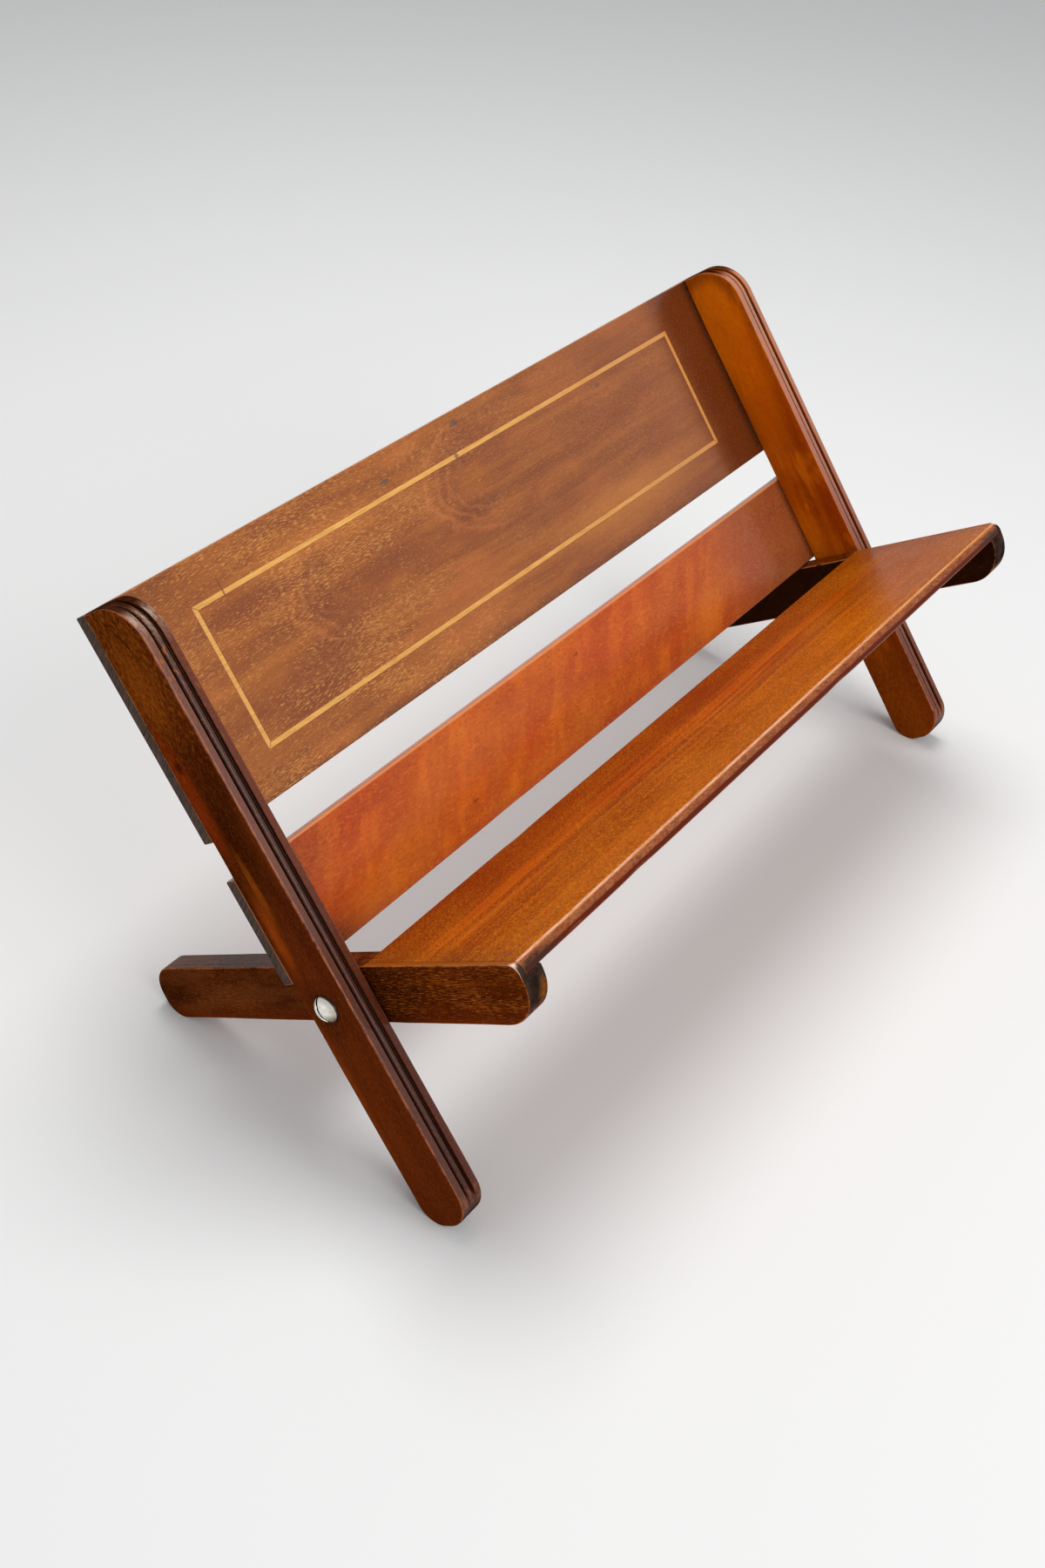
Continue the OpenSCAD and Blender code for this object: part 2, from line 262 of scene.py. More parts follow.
def upright_mesh(name, right, seed):
    """A reeded upright: the reeds run over the top, down the front and out on the toe."""
    outline, normals, stretch = bar_outline(
        (-PIVOT_FRONT, -UPRIGHT_FOOT), (PIVOT_BACK, UPRIGHT_TOP), (TOE_R, HEEL_R, BACK_R, TOP_R)
    )
    along = edge_lengths(outline)
    reeded = np.isin(stretch, (5, 6, 7)).astype(float)
    toe = stretch == 0
    toe_front = toe * (normals[:, 0] > TOE_FRONT[0]) * (normals[:, 0] < TOE_FRONT[1])
    sunk = outline[:, 0] + PIVOT_FRONT
    lean_in = np.maximum(-normals[:, 0], TOE_LEAN)
    rings, edge, groove = [], [], []
    for x, shrink, worn in upright_rows():
        depth = float(reed_depth(np.array(x)))
        cut = np.where(toe, np.maximum(depth - sunk, 0) / lean_in, reeded * depth)
        ring = outline - normals * (softened(along, seed, x > 0, shrink) + cut)[:, None]
        rings.append(row_points(x, ring))
        proud = worn == 0 and depth < SHALLOW
        edge.append(np.maximum(worn, toe_front * REED_END_WORN * proud) + REED_WORN * proud * reeded)
        groove.append(np.clip(cut / GROOVE_DEPTH, 0, 1))
    return bar_skin(name, rings, UPRIGHT_X, right, LEAN, edge=edge, groove=groove)


TOP_FACING = 0.9


def arm_mesh(name, right, seed):
    """An arm with the shelf's seat cut into its top, up to an outer lip."""
    outline, normals, stretch = bar_outline((-ARM_FRONT, -ARM_BELOW), (ARM_REAR, ARM_ABOVE), ARM_RADII)
    stop_y = FIT - SHELF_BACK
    at = int(np.argmax((stretch == 5) & (outline[:, 0] < stop_y)))
    outline = np.insert(outline, at, [[stop_y, ARM_ABOVE], [stop_y - STEP, ARM_ABOVE]], axis=0)
    normals = np.insert(normals, at, [[0, 1], [0, 1]], axis=0)
    along = edge_lengths(outline)
    floor = ARM_ABOVE - SHELF_T
    let_in = (outline[:, 0] < stop_y - STEP / 2) & (outline[:, 1] > floor)
    beside = let_in & (normals[:, 1] > TOP_FACING)
    lip = LIP_W - FIT
    outer = low_edge(0, BAR_EASE) + [(lip - LAP_RUN, 0, 0), (lip, LAP_EASE, LAP_WORN)]
    inner = [(lip, 0, 0)] + high_edge(ARM_T, BAR_EASE)
    rings, edge = [], []
    for rows, seat in ((outer, False), (inner, True)):
        for x, shrink, worn in rows:
            ring = outline - normals * softened(along, seed, x > lip, shrink)[:, None]
            if seat:
                ring[let_in, 1] = floor - shrink
            rings.append(row_points(x, ring))
            edge.append(np.where(beside | (worn != LAP_WORN), worn, 0))
    return bar_skin(name, rings, ARM_OUT, right, SLOPE, edge=edge, groove=np.zeros_like(edge))


BOARD_ROW, DENT_RIPPLE, DENT_WAVES, DENT_SHIFT = 5, 0.045, 9, 31


def board_mesh(name, low, high, radii, half, angle, ease, dent, seed):
    """A board along X; dent says how far its rounded edges wander."""
    outline, normals, stretch = bar_outline(low, high, radii, step=4, arc=24)
    middle = np.linspace(ease - half, half - ease, int(2 * half / BOARD_ROW))[1:-1]
    rows = low_edge(-half, ease, 3) + [(x, 0, 0) for x in middle] + high_edge(half, ease, 3)
    corner = np.isin(stretch, (0, 2, 4, 6)).astype(float)
    nose = (stretch == 6) * NOSE_WORN * np.abs(normals[:, 0] * normals[:, 1])
    rings, edge = [], []
    for x, shrink, worn in rows:
        dents = np.maximum(0, ripple(x + DENT_SHIFT * stretch, seed, DENT_RIPPLE, DENT_WAVES)) ** 2
        ring = outline - normals * (shrink + dent * dents * corner)[:, None]
        rings.append(row_points(x, ring))
        edge.append(np.maximum(worn, nose))
    return loft(name, stood(rings, angle), edge=edge, groove=np.zeros_like(edge))


def placed(work, name):
    """A mesh on the back frame from a bmesh in local millimetres, and those local places."""
    mesh = bpy.data.meshes.new(name)
    work.to_mesh(mesh)
    work.free()
    co = np.array([v.co for v in mesh.vertices])
    mesh.vertices.foreach_set("co", stood(co, LEAN).astype(np.float32).ravel())
    mesh.update()
    return mesh, co


PANEL_FACE, PANEL_SUNK, PANEL_BACK = PIVOT_BACK, PIVOT_BACK + STRING_T, PIVOT_BACK + BOARD_T
CELL_SIDES = ((0, -1), (1, 0), (0, 1), (-1, 0))


def panel_cells(mesh):
    """The panel as five by five cells, with the ring of cells under the strings sunk."""

    def cuts(low, high, inset):
        steps = (0, inset, inset + STRING_W)
        return [low + d for d in steps] + [high - d for d in steps[::-1]]

    xs, zs = cuts(-HALF_W, HALF_W, STRING_END), cuts(PANEL_LOW, UPRIGHT_TOP, STRING_EDGE)
    made = {}

    def vert(i, j, y):
        if (i, j, y) not in made:
            made[i, j, y] = mesh.verts.new((xs[i], y, zs[j]))
        return made[i, j, y]

    def level(i, j):
        sunk = (i in (1, 3) and 1 <= j <= 3) or (j in (1, 3) and 1 <= i <= 3)
        return PANEL_SUNK if sunk else PANEL_FACE

    def wall(a, b, front, back):
        mesh.faces.new([vert(*b, front), vert(*a, front), vert(*a, back), vert(*b, back)])

    for i in range(5):
        for j in range(5):
            here = level(i, j)
            corners = [(i, j), (i + 1, j), (i + 1, j + 1), (i, j + 1)]
            mesh.faces.new([vert(*c, here) for c in corners])
            mesh.faces.new([vert(*c, PANEL_BACK) for c in corners[::-1]])
            for a, b, (di, dj) in zip(corners, corners[1:] + corners[:1], CELL_SIDES):
                if not (0 <= i + di < 5 and 0 <= j + dj < 5):
                    wall(a, b, here, PANEL_BACK)
                elif here == PANEL_FACE and level(i + di, j + dj) == PANEL_SUNK:
                    wall(a, b, PANEL_FACE, PANEL_SUNK)


def panel_planes(co, within):
    """How many of the panel's outer planes each place lies within a distance of."""
    x, y, z = np.asarray(co).T
    count = (HALF_W - np.abs(x) < within).astype(int)
    count += np.minimum(z - PANEL_LOW, UPRIGHT_TOP - z) < within
    count += np.minimum(y - PANEL_FACE, PANEL_BACK - y) < within
    return count


def panel_mesh(name):
    """The upper panel, with the channel for the stringing sunk in its face."""
    mesh = bmesh.new()
    panel_cells(mesh)
    bmesh.ops.recalc_face_normals(mesh, faces=mesh.faces)
    edges = list(mesh.edges)
    on_rim = panel_planes([e.verts[0].co.lerp(e.verts[1].co, 0.5) for e in edges], TOUCH) > 1
    rim = [e for e, found in zip(edges, on_rim) if found]
    bmesh.ops.bevel(
        mesh, geom=rim, offset=BOARD_EASE, segments=3, profile=0.5, affect="EDGES", clamp_overlap=False
    )
    data, co = placed(mesh, name)
    set_attribute(data, "edge", (panel_planes(co, BOARD_EASE - TOUCH) > 1) * BOARD_WORN)
    set_attribute(data, "groove", np.zeros(len(co)))
    return data


def string_mesh(name, across, sign):
    """One mitred string, a little eased along its edges."""
    x_out = HALF_W - STRING_END - STRING_GAP
    z_out = (UPRIGHT_TOP - PANEL_LOW) / 2 - STRING_EDGE - STRING_GAP
    wide = STRING_W - 2 * STRING_GAP
    corners = []
    for inset, end in ((0, -1), (0, 1), (wide, 1), (wide, -1)):
        x, z = x_out - inset, z_out - inset
        corners.append((end * x, sign * z) if across else (sign * x, end * z))
    middle = (UPRIGHT_TOP + PANEL_LOW) / 2
    mesh = bmesh.new()
    front = [mesh.verts.new((x, PIVOT_BACK, z + middle)) for x, z in corners]
    back = [mesh.verts.new((x, PIVOT_BACK + STRING_T - STRING_GAP, z + middle)) for x, z in corners]
    top = mesh.faces.new(front)
    mesh.faces.new(back[::-1])
    for k in range(4):
        mesh.faces.new([front[k], back[k], back[(k + 1) % 4], front[(k + 1) % 4]])
    bmesh.ops.recalc_face_normals(mesh, faces=mesh.faces)
    bmesh.ops.bevel(mesh, geom=list(top.edges), offset=STRING_EASE, segments=2, profile=0.5, affect="EDGES")
    face = max(mesh.faces, key=lambda f: -f.normal.y * f.calc_area())
    bmesh.ops.inset_region(mesh, faces=[face], thickness=STRING_SOIL)
    mesh.verts.index_update()
    clean = [v.index for v in face.verts]
    data, co = placed(mesh, name)
    soiled = np.ones(len(co))
    soiled[clean] = 0
    set_attribute(data, "edge", soiled)
    return data


HEAD_STEPS, HEAD_POINTS, SHANK_POINTS = 18, 41, 32
BRIM = 0.9995
SLOT_EDGES, SLOT_CLEAR = (0, 0.05, 0.12), 0.2


def screw_head():
    """Rings of a domed head with a slot that runs out at both sides, and where the slot is."""
    dome_r = (HEAD_H**2 + HEAD_R**2) / (2 * HEAD_H)
    floor = HEAD_H - SLOT_DEPTH
    half = SLOT_W / 2
    lobe = np.sin(np.linspace(0, math.pi / 2, HEAD_STEPS)[1:]) * (HEAD_R - half) + half
    lobe = np.concatenate([[half + e for e in SLOT_EDGES], lobe[lobe > half + SLOT_CLEAR]])
    lobe[-1] = HEAD_R * BRIM
    rows = [(-b, False) for b in lobe[::-1]] + [(b, True) for b in (-half, 0, half)]
    rows += [(b, False) for b in lobe]
    t = np.cos(np.linspace(math.pi, 0, HEAD_POINTS))
    rings, groove = [], []
    for b, slot in rows:
        a = t * math.sqrt(max(HEAD_R**2 - b * b, 1e-4))
        height = np.sqrt(np.maximum(dome_r**2 - a**2 - b * b, 0)) + HEAD_H - dome_r
        height = np.maximum(height, 0)
        top = np.minimum(height, floor)
        if not slot:
            top = np.maximum(height - SLOT_EASE * (abs(b) - half < TOUCH), top)
        out = np.r_[top, np.zeros(len(a))]
        rings.append(np.column_stack([out, np.full(len(out), b), np.r_[a, a[::-1]]]))
        groove.append(np.full(len(out), float(slot)))
    rings = tipped(np.array(rings), SLOT_TURN)
    rings[..., 0] = -HALF_W - HEAD_GAP - rings[..., 0]
    return rings, np.array(groove)


def screw_shank():
    """Rings of a plain pointed shank."""
    turn = np.linspace(0, 2 * math.pi, SHANK_POINTS + 1)[:-1]
    rings = []
    for d, r in ((0, SHANK_R), (SHANK_L, SHANK_R), (SHANK_L + POINT_L, POINT_R)):
        ring = np.column_stack([r * np.cos(turn), r * np.sin(turn)])
        rings.append(row_points(d - HALF_W - HEAD_GAP, ring))
    return np.array(rings)


def joined(name, skins):
    """One mesh from several closed skins."""
    work = bmesh.new()
    for skin in skins:
        work.from_mesh(skin)
        bpy.data.meshes.remove(skin)
    bmesh.ops.recalc_face_normals(work, faces=work.faces)
    mesh = bpy.data.meshes.new(name)
    work.to_mesh(mesh)
    work.free()
    return mesh


def pivot_screw_mesh(name, right):
    """The slotted head and its shank as one mesh."""
    head, groove = screw_head()
    shank = screw_shank()
    if right:
        head[..., 0] *= -1
        shank[..., 0] *= -1
    head = loft("head", stood(head, SLOPE), not right, groove=groove)
    shank = loft("shank", stood(shank, SLOPE), right, groove=np.zeros(shank.shape[:2]))
    return joined(name, (head, shank))


def drilled(mesh, cutters):
    """The mesh with holes: each cutter is rings of points for a closed tool."""
    name = mesh.name
    tools = joined("tools", [loft("tool", rings) for rings in cutters])
    work, tool = new_object("work", mesh), new_object("tools", tools)
    cut = work.modifiers.new("cut", "BOOLEAN")
    cut.operation = "DIFFERENCE"
    cut.solver = "EXACT"
    cut.object = tool
    result = bpy.data.meshes.new_from_object(work.evaluated_get(bpy.context.evaluated_depsgraph_get()))
    for used in (work, tool):
        bpy.data.objects.remove(used)
    for used in (mesh, tools):
        bpy.data.meshes.remove(used)
    result.name = name
    return result


TOOL_POINTS = 48


def round_tool(profile, centre, axis, angle):
    """Rings of a turned tool; profile is (depth, radius) pairs, with depth down the axis."""
    turn = np.linspace(0, 2 * math.pi, TOOL_POINTS + 1)[:-1]
    rings = []
    for depth, r in profile:
        parts = [r * np.cos(turn), r * np.sin(turn)]
        parts.insert(axis, np.full(TOOL_POINTS, -depth))
        rings.append(stood(np.column_stack(parts) + centre, angle))
    return np.array(rings)


def screw_holes(low, high):
    """Tools for the countersunk holes in a board's back."""
    sink = SCREW_HEAD_R - SCREW_R
    head_r, shank_r = SCREW_HEAD_R + FIT, SCREW_R + FIT
    profile = [(-TOOL_CLEAR, head_r), (0, head_r), (sink, shank_r), (sink + TOOL_PAST, shank_r)]
    zs = (low + SCREW_EDGE, high - SCREW_EDGE)
    return [round_tool(profile, (x, PANEL_BACK, z), 1, LEAN) for x in (UPRIGHT_X, -UPRIGHT_X) for z in zs]


def pin_holes():
    """Tools for the pins' holes in the top of the shelf."""
    pitch = (ARM_FRONT - SHELF_BACK - 2 * PIN_EDGE) / (PIN_COUNT - 1)
    x_pin = ARM_OUT + (LIP_W + ARM_T) / 2
    profile = [(-TOOL_CLEAR, PIN_HEAD_R + FIT), (PIN_HEAD_R, PIN_HEAD_R + FIT)]
    ys = [PIN_EDGE - ARM_FRONT + k * pitch for k in range(PIN_COUNT)]
    return [round_tool(profile, (x, y, ARM_ABOVE), 2, SLOPE) for x in (x_pin, -x_pin) for y in ys]


# Materials.

# Marks on the boards' faces lie about this depth and reach this far through the wood.
FACE_Y, FACE_REACH, BROAD_REACH, FLAME_REACH = 12, 9, 40, 90
# Depths of relief in metres.
BUMP_STEP, SCRATCH_STEP = 0.0003, 0.0001


def tone(r, g, b):
    """An 8-bit display tone as a linear colour."""
    parts = [c / 255 for c in (r, g, b)]
    return tuple(c / 12.92 if c <= 0.04045 else ((c + 0.055) / 1.055) ** 2.4 for c in parts) + (1,)


class Shader:
    """A material or a world in the making; most methods add nodes and give back a socket."""

    def __init__(self, name, kind=bpy.data.materials, end="Principled BSDF", colour="Base Color"):
        self.made = kind.new(name)
        self.made.use_nodes = True
        self.tree = self.made.node_tree
        self.end = self.tree.nodes[end].inputs
        self.colour_input = self.end[colour]

    def put(self, socket, value):
        if isinstance(value, bpy.types.NodeSocket):
            self.tree.links.new(value, socket)
        else:
            socket.default_value = value

    def node(self, kind, inputs=None, **settings):
        made = self.tree.nodes.new("ShaderNode" + kind)
        for key, value in settings.items():
            setattr(made, key, value)
        for key, value in (inputs or {}).items():
            self.put(made.inputs[key], value)
        return made

    def finish(self, **inputs):
        self.put(self.colour_input, self.colour)
        for key, value in inputs.items():
            self.put(self.end[key.replace("_", " ")], value)
        return self.made

    def math(self, kind, *values):
        return self.node("Math", dict(enumerate(values)), operation=kind).outputs[0]

    def vector(self, kind, *values, out=0):
        return self.node("VectorMath", dict(enumerate(values)), operation=kind).outputs[out]

    def turned(self, v, angle, axis="X_AXIS"):
        return self.node("VectorRotate", {"Vector": v, "Angle": angle}, rotation_type=axis).outputs[0]

    def parts(self, v):
        return tuple(self.node("SeparateXYZ", {0: v}).outputs)

    def local(self, angle):
        """Millimetres about the pivot line at rest, turned level with the piece."""
        moved = self.vector("SUBTRACT", self.node("TexCoord").outputs["Object"], tuple(PIVOT))
        turned = self.turned(moved, angle)
        return self.node("VectorMath", {0: turned, "Scale": 1 / MM}, operation="SCALE").outputs[0]

    def facing(self, angle):
        """The surface normal turned level with the piece, as three absolute parts."""
        turned = self.turned(self.node("TexCoord").outputs["Normal"], angle)
        return self.parts(self.vector("ABSOLUTE", turned))

    def scaled(self, p, by, shift=(0, 0, 0)):
        return self.vector("MULTIPLY_ADD", p, by, shift)

    def noise(self, p, rate, shift=(0, 0, 0), detail=3, rough=0.6, colour=False):
        inputs = {"Vector": self.scaled(p, rate, shift), "Scale": 1, "Detail": detail, "Roughness": rough}
        return self.node("TexNoise", inputs).outputs["Color" if colour else "Fac"]

    def cells(self, p):
        made = self.node("TexVoronoi", {"Vector": p, "Scale": 1}, voronoi_dimensions="2D")
        return made.outputs["Distance"], self.node("SeparateColor", {0: made.outputs["Color"]}).outputs

    def times(self, a, b):
        return self.math("MULTIPLY", a, b)

    def plus(self, a, b, c):
        """a times b, plus c."""
        return self.math("MULTIPLY_ADD", a, b, c)

    def most(self, a, b):
        return self.math("MAXIMUM", a, b)

    def off(self, value, middle):
        """How far a value is from a middle, on either side."""
        return self.math("ABSOLUTE", self.math("SUBTRACT", value, middle))

    def fit(self, value, low, high, to_low=0, to_high=1, smooth=True):
        kind = "SMOOTHSTEP" if smooth else "LINEAR"
        inputs = {0: value, 1: low, 2: high, 3: to_low, 4: to_high}
        return self.node("MapRange", inputs, interpolation_type=kind).outputs[0]

    def ramp(self, value, *stops):
        made = self.node("ValToRGB", {0: value})
        band = made.color_ramp
        while len(band.elements) < len(stops):
            band.elements.new(0.5)
        for element, (place, shade) in zip(band.elements, sorted(stops)):
            element.position = place
            element.color = tone(*shade)
        return made.outputs[0]

    def blend(self, share, a, b):
        return self.node("Mix", {0: share, 6: a, 7: b}, data_type="RGBA").outputs[2]

    def cover(self, share, shade):
        """Another colour over the material's own, by a share."""
        self.colour = self.blend(share, self.colour, shade)

    def tint(self, mask, share, shade):
        """A tone over the colour by a mask times a share."""
        self.cover(self.times(mask, share), tone(*shade))

    def fades(self, *steps, by=None):
        """Tones over the colour: each comes in, up to a share, as a value passes from low to high."""
        for value, low, high, share, shade in steps:
            mask = self.fit(value, low, high, 0, share)
            self.cover(mask if by is None else self.times(mask, by), tone(*shade))

    def away(self, p, centre, reach):
        """How far from a place, where 1 is its oval outline."""
        off = self.vector("DIVIDE", self.vector("SUBTRACT", p, centre), reach)
        return self.vector("LENGTH", off, out="Value")

    def spot(self, p, centre, reach, soft):
        """A soft oval mask about a place."""
        return self.fit(self.away(p, centre, reach), 1, 1 - soft)

    def spots(self, p, places, share, shade, soft=0.6, reach=FACE_REACH):
        """Soft spots of a tone on a board's face, each given by x, z, half width and half height."""
        masks = [self.spot(p, (x, FACE_Y, z), (w, reach, h), soft) for x, z, w, h in places]
        self.tint(reduce(self.most, masks), share, shade)

    def mark(self, name):
        return self.node("Attribute", attribute_name=name).outputs["Fac"]

    def bump(self, height, strength, step=BUMP_STEP):
        return self.node("Bump", {"Strength": strength, "Distance": step, "Height": height}).outputs[0]


# How fast the parts of a timber's figure change along and across the grain, per millimetre.
DRIFT, FIBRE, MOTTLE, CLUSTER = (0.008, 0.025), (0.06, 2.1), (0.016, 0.04), (0.02, 0.05)
BAND_ALONG = 0.0045
RUB, HAZE, END_MOTTLE, SAW_LINES = (0.22,) * 3, (0.06,) * 3, (0.16,) * 3, (0.3, 0.12, 1.3)
FIGURE_SPREAD = (0.38, 0.66)
FLECK_LAYERS = ((1, (0, 0, 0)), (0.66, (37, 23, 51)))
GRIME = (22, 9, 4)

# What a timber has unless its own settings say otherwise.
PLAIN_WOOD = dict(
    stripe=0.16, swirl=7, shares=(0.62, 0.2, 0.34), cover=1, specks=0.15, where=None, veil=None, cap=None,
    worn=(196, 120, 60), wear=0.6, patchy=0.36, end=(84, 56, 40), end_from=(0.72, 0.93), rough=0.32,
)


# From here on s is a shader, o a timber's settings, p a place on the piece, q that place moved by the seed,
# and w the moved place as the figure bends it.
def by_grain(o, along, across):
    return tuple(along if k == o.axis else across for k in range(3))


def darker(shade, share):
    return [share * c for c in shade]


def wood_figure(s, o, q):
    """Clouded bands that wander along the grain, fine fibres and a mottle."""
    drift = s.noise(q, by_grain(o, *DRIFT), detail=2, rough=0.5, colour=True)
    drift = s.scaled(drift, by_grain(o, 0, 2 * o.swirl), by_grain(o, 0, -o.swirl))
    w = s.vector("ADD", q, drift)
    bands = s.noise(w, by_grain(o, BAND_ALONG, o.stripe), detail=5, rough=0.62)
    fibres = s.noise(w, by_grain(o, *FIBRE))
    mottle = s.noise(q, by_grain(o, *MOTTLE), detail=4)
    total = s.times(bands, o.shares[0])
    total = s.plus(fibres, o.shares[1], total)
    total = s.plus(mottle, o.shares[2], total)
    whole = sum(o.shares)
    total = s.fit(total, whole * FIGURE_SPREAD[0], whole * FIGURE_SPREAD[1], smooth=False)
    stops = [(k / (len(o.tones) - 1), shade) for k, shade in enumerate(o.tones)]
    s.colour = s.ramp(total, *stops)
    return w, fibres


def wood_flecks(s, o, p, q, w):
    """Short pale dashes in clusters, fine dust and dark pores along the grain."""
    part = s.parts(w)
    side_a, side_b = [part[k] for k in range(3) if k != o.axis]
    flat = s.node("CombineXYZ", {0: part[o.axis], 1: s.math("ADD", side_a, side_b)}).outputs[0]
    cluster = s.noise(q, by_grain(o, *CLUSTER), (3, 7, 1))
    long, wide = o.fleck_size
    layers = []
    for size, shift in FLECK_LAYERS:
        rate = (0.9 / (size * long), 1.1 / (size * wide), 0)
        streak = s.noise(flat, rate, shift, detail=1, rough=0.4)
        streak = s.plus(cluster, 0.45, streak)
        layers.append(s.fit(streak, 0.87 - 0.1 * o.cover, 0.95 - 0.1 * o.cover))
    dashes = reduce(s.most, layers)
    if o.where:
        dashes = s.times(dashes, o.where(s, p))
    s.tint(dashes, o.flecks, o.fleck)
    dust = s.noise(flat, (1.1, 1.8, 0), (5, 9, 0), detail=2)
    s.fades((dust, 0.52, 0.7, o.specks, o.fleck), (dust, 0.46, 0.3, o.specks, o.tones[0]))
    near, draw = s.cells(s.scaled(flat, (0.8 / long, 1.6 / wide, 0), (11, 5, 3)))
    pit = s.times(s.fit(near, 0.42, 0.15), s.fit(draw[1], 0.5, 0.8))
    s.tint(pit, o.pores, darker(o.tones[0], 0.45))
    return pit


def wood_ends(s, o, p, q):
    """The colour of cut ends and the saw marks in them."""
    lines = s.noise(s.turned(q, 0.6), SAW_LINES if o.axis == 0 else END_MOTTLE, detail=4)
    ends = s.ramp(lines, (0.38, darker(o.end, 0.42)), (0.62, o.end))
    return o.cap(s, p, ends) if o.cap else ends, lines


def wood(name, **given):
    """Polished old timber, rubbed down on the faces across X, which are handled most.
    Its bands change across the grain by stripe and wander by swirl; shares weigh bands, fibres and mottle.
    cover is how many flecks there are, and where thins them. marks, veil and cap are what one piece has
    under its flecks, over them and on its cut ends."""
    o = SimpleNamespace(**{**PLAIN_WOOD, **given})
    o.axis = "xyz".index(o.grain)
    s = Shader(name)
    p = s.local(o.angle)
    facing = s.facing(o.angle)
    q = s.scaled(p, (1, 1, 1), o.seed)
    w, fibres = wood_figure(s, o, q)
    o.marks(s, p, w)
    pit = wood_flecks(s, o, p, q, w)
    if o.veil:
        o.veil(s, p, facing)
    rub = s.noise(q, RUB, detail=4, rough=0.65)
    rub = s.times(s.fit(s.mark("edge"), 0.3, 0.95), s.fit(rub, o.patchy, o.patchy + 0.24))
    s.tint(rub, o.wear, o.worn)
    cut = s.fit(facing[o.axis], *o.end_from)
    ends, lines = wood_ends(s, o, p, q)
    s.cover(cut, ends)
    grime = s.fit(s.mark("groove"), 0.25, 0.8)
    s.tint(grime, 0.93, GRIME)

    haze = s.noise(q, HAZE, detail=4)
    gloss = s.fit(haze, 0.3, 0.7, o.rough - 0.07, o.rough + 0.1, smooth=False)
    gloss = s.plus(cut, 0.25, gloss)
    gloss = s.plus(grime, 0.25, gloss)
    relief = s.plus(pit, -0.7, s.times(fibres, 0.6))
    relief = s.plus(haze, 0.5, relief)
    relief = s.plus(s.times(lines, cut), 1.6, relief)
    bare = s.most(s.fit(facing[0], 0.6, 0.95), cut)
    return s.finish(
        Roughness=gloss, Specular_IOR_Level=o.specular,
        Coat_Weight=s.fit(bare, 0, 1, o.coat, 0, smooth=False), Coat_Roughness=0.12,
        Normal=s.bump(relief, 0.12), Coat_Normal=s.bump(haze, 0.05),
    )


# Marks on the panel and on its strings: x, z, half width and half height.
INK_SPOTS = ((3.4, 157.9, 4, 1.9), (-47.1, 151, 4.2, 1.4), (96.7, 141, 3, 1.2), (-3.9, 145.6, 1.6, 0.8))
HAIR_CRACKS = ((-143, 148, 0.45, 6), (-156.6, 158.9, 0.4, 3.5), (-163, 159.1, 0.4, 3))
STRING_STAINS = ((-3.9, 145.6, 1.5, 1.6), (-143, 146, 0.6, 4))
GOLDEN_PATCH = ((86, 88, 80, 16),)
FLAMES = ((15, 134.5, 45, 24), (-82, 126, 36, 22))
# Each line of a flame: how far out it runs and how strong it is.
FLAME_LINES = ((1.2, 0.5), (1.03, 0.4), (0.86, 0.25))


def panel_flames(s, p, x):
    """Two flames in the figure: dark inside, with pale lines that fade toward the right."""
    waver = s.noise(p, (0.06, 0.1, 0.16), (0, 0, 2))
    for at_x, at_z, half_w, half_h in FLAMES:
        out = s.away(p, (at_x, FACE_Y, at_z), (half_w, FLAME_REACH, half_h))
        out = s.plus(waver, 0.36, out)
        tip = s.fit(x, at_x + 12, at_x - 24)
        inside = s.times(s.fit(out, 1.16, 0.96), s.fit(out, 0.5, 0.8))
        s.tint(s.times(inside, tip), 0.45, (106, 50, 24))
        for ring, share in FLAME_LINES:
            line = s.fit(s.off(out, ring), 0.055, 0.01)
            s.tint(s.times(line, tip), share, (176, 100, 50))


def panel_marks(s, p, w):
    """Flames, ink spots near the top edge, hair cracks, clouds, painted shade at the right end and along the
    joints with the uprights, and a darker lower edge.
    """
    x, _, z = s.parts(p)
    panel_flames(s, p, x)
    s.spots(p, INK_SPOTS, 0.8, (78, 58, 54))
    s.spots(p, HAIR_CRACKS, 0.6, (70, 34, 20))
    cloud = s.noise(w, (0.014, 0.05, 0.05), (6, 2, 5), rough=0.55)
    s.fades(
        (cloud, 0.5, 0.66, 0.55, (112, 48, 20)),
        (cloud, 0.48, 0.32, 0.45, (176, 98, 42)),
        (x, -20, 130, 0.4, (124, 62, 28)),
        # Painted shade: the right end darkens where the right upright shades it.
        (x, 144, 168, 0.92, (86, 34, 10)),
    )
    s.spots(p, GOLDEN_PATCH, 0.55, (178, 108, 40), 0.8, BROAD_REACH)
    ragged = s.noise(p, (0.05, 0.2, 0.2), rough=0.5)
    low = s.plus(ragged, -5, z)
    s.fades(
        # Painted shade along the joints with the uprights.
        (s.math("ABSOLUTE", x), UPRIGHT_IN - 6.5, UPRIGHT_IN, 0.8, (36, 16, 8)),
        (low, PANEL_LOW + 2, PANEL_LOW - 2.5, 0.7, (88, 40, 20)),
    )


def panel_flecks(s, p):
    """The figure is strongest toward the left and fades out before the right end."""
    x = s.parts(p)[0]
    return s.times(s.fit(x, 60, -90, 0.25, 1), s.fit(x, 158, 146))


SLAT_SPOTS = ((6, 45.9, 2.2, 1.1), (-82.8, 22.5, 2.6, 0.9))
# Painted shade in the slat's lower left corner, beside the left upright.
SHADED_CORNER = ((-184, SLAT_LOW, 28, 17),)


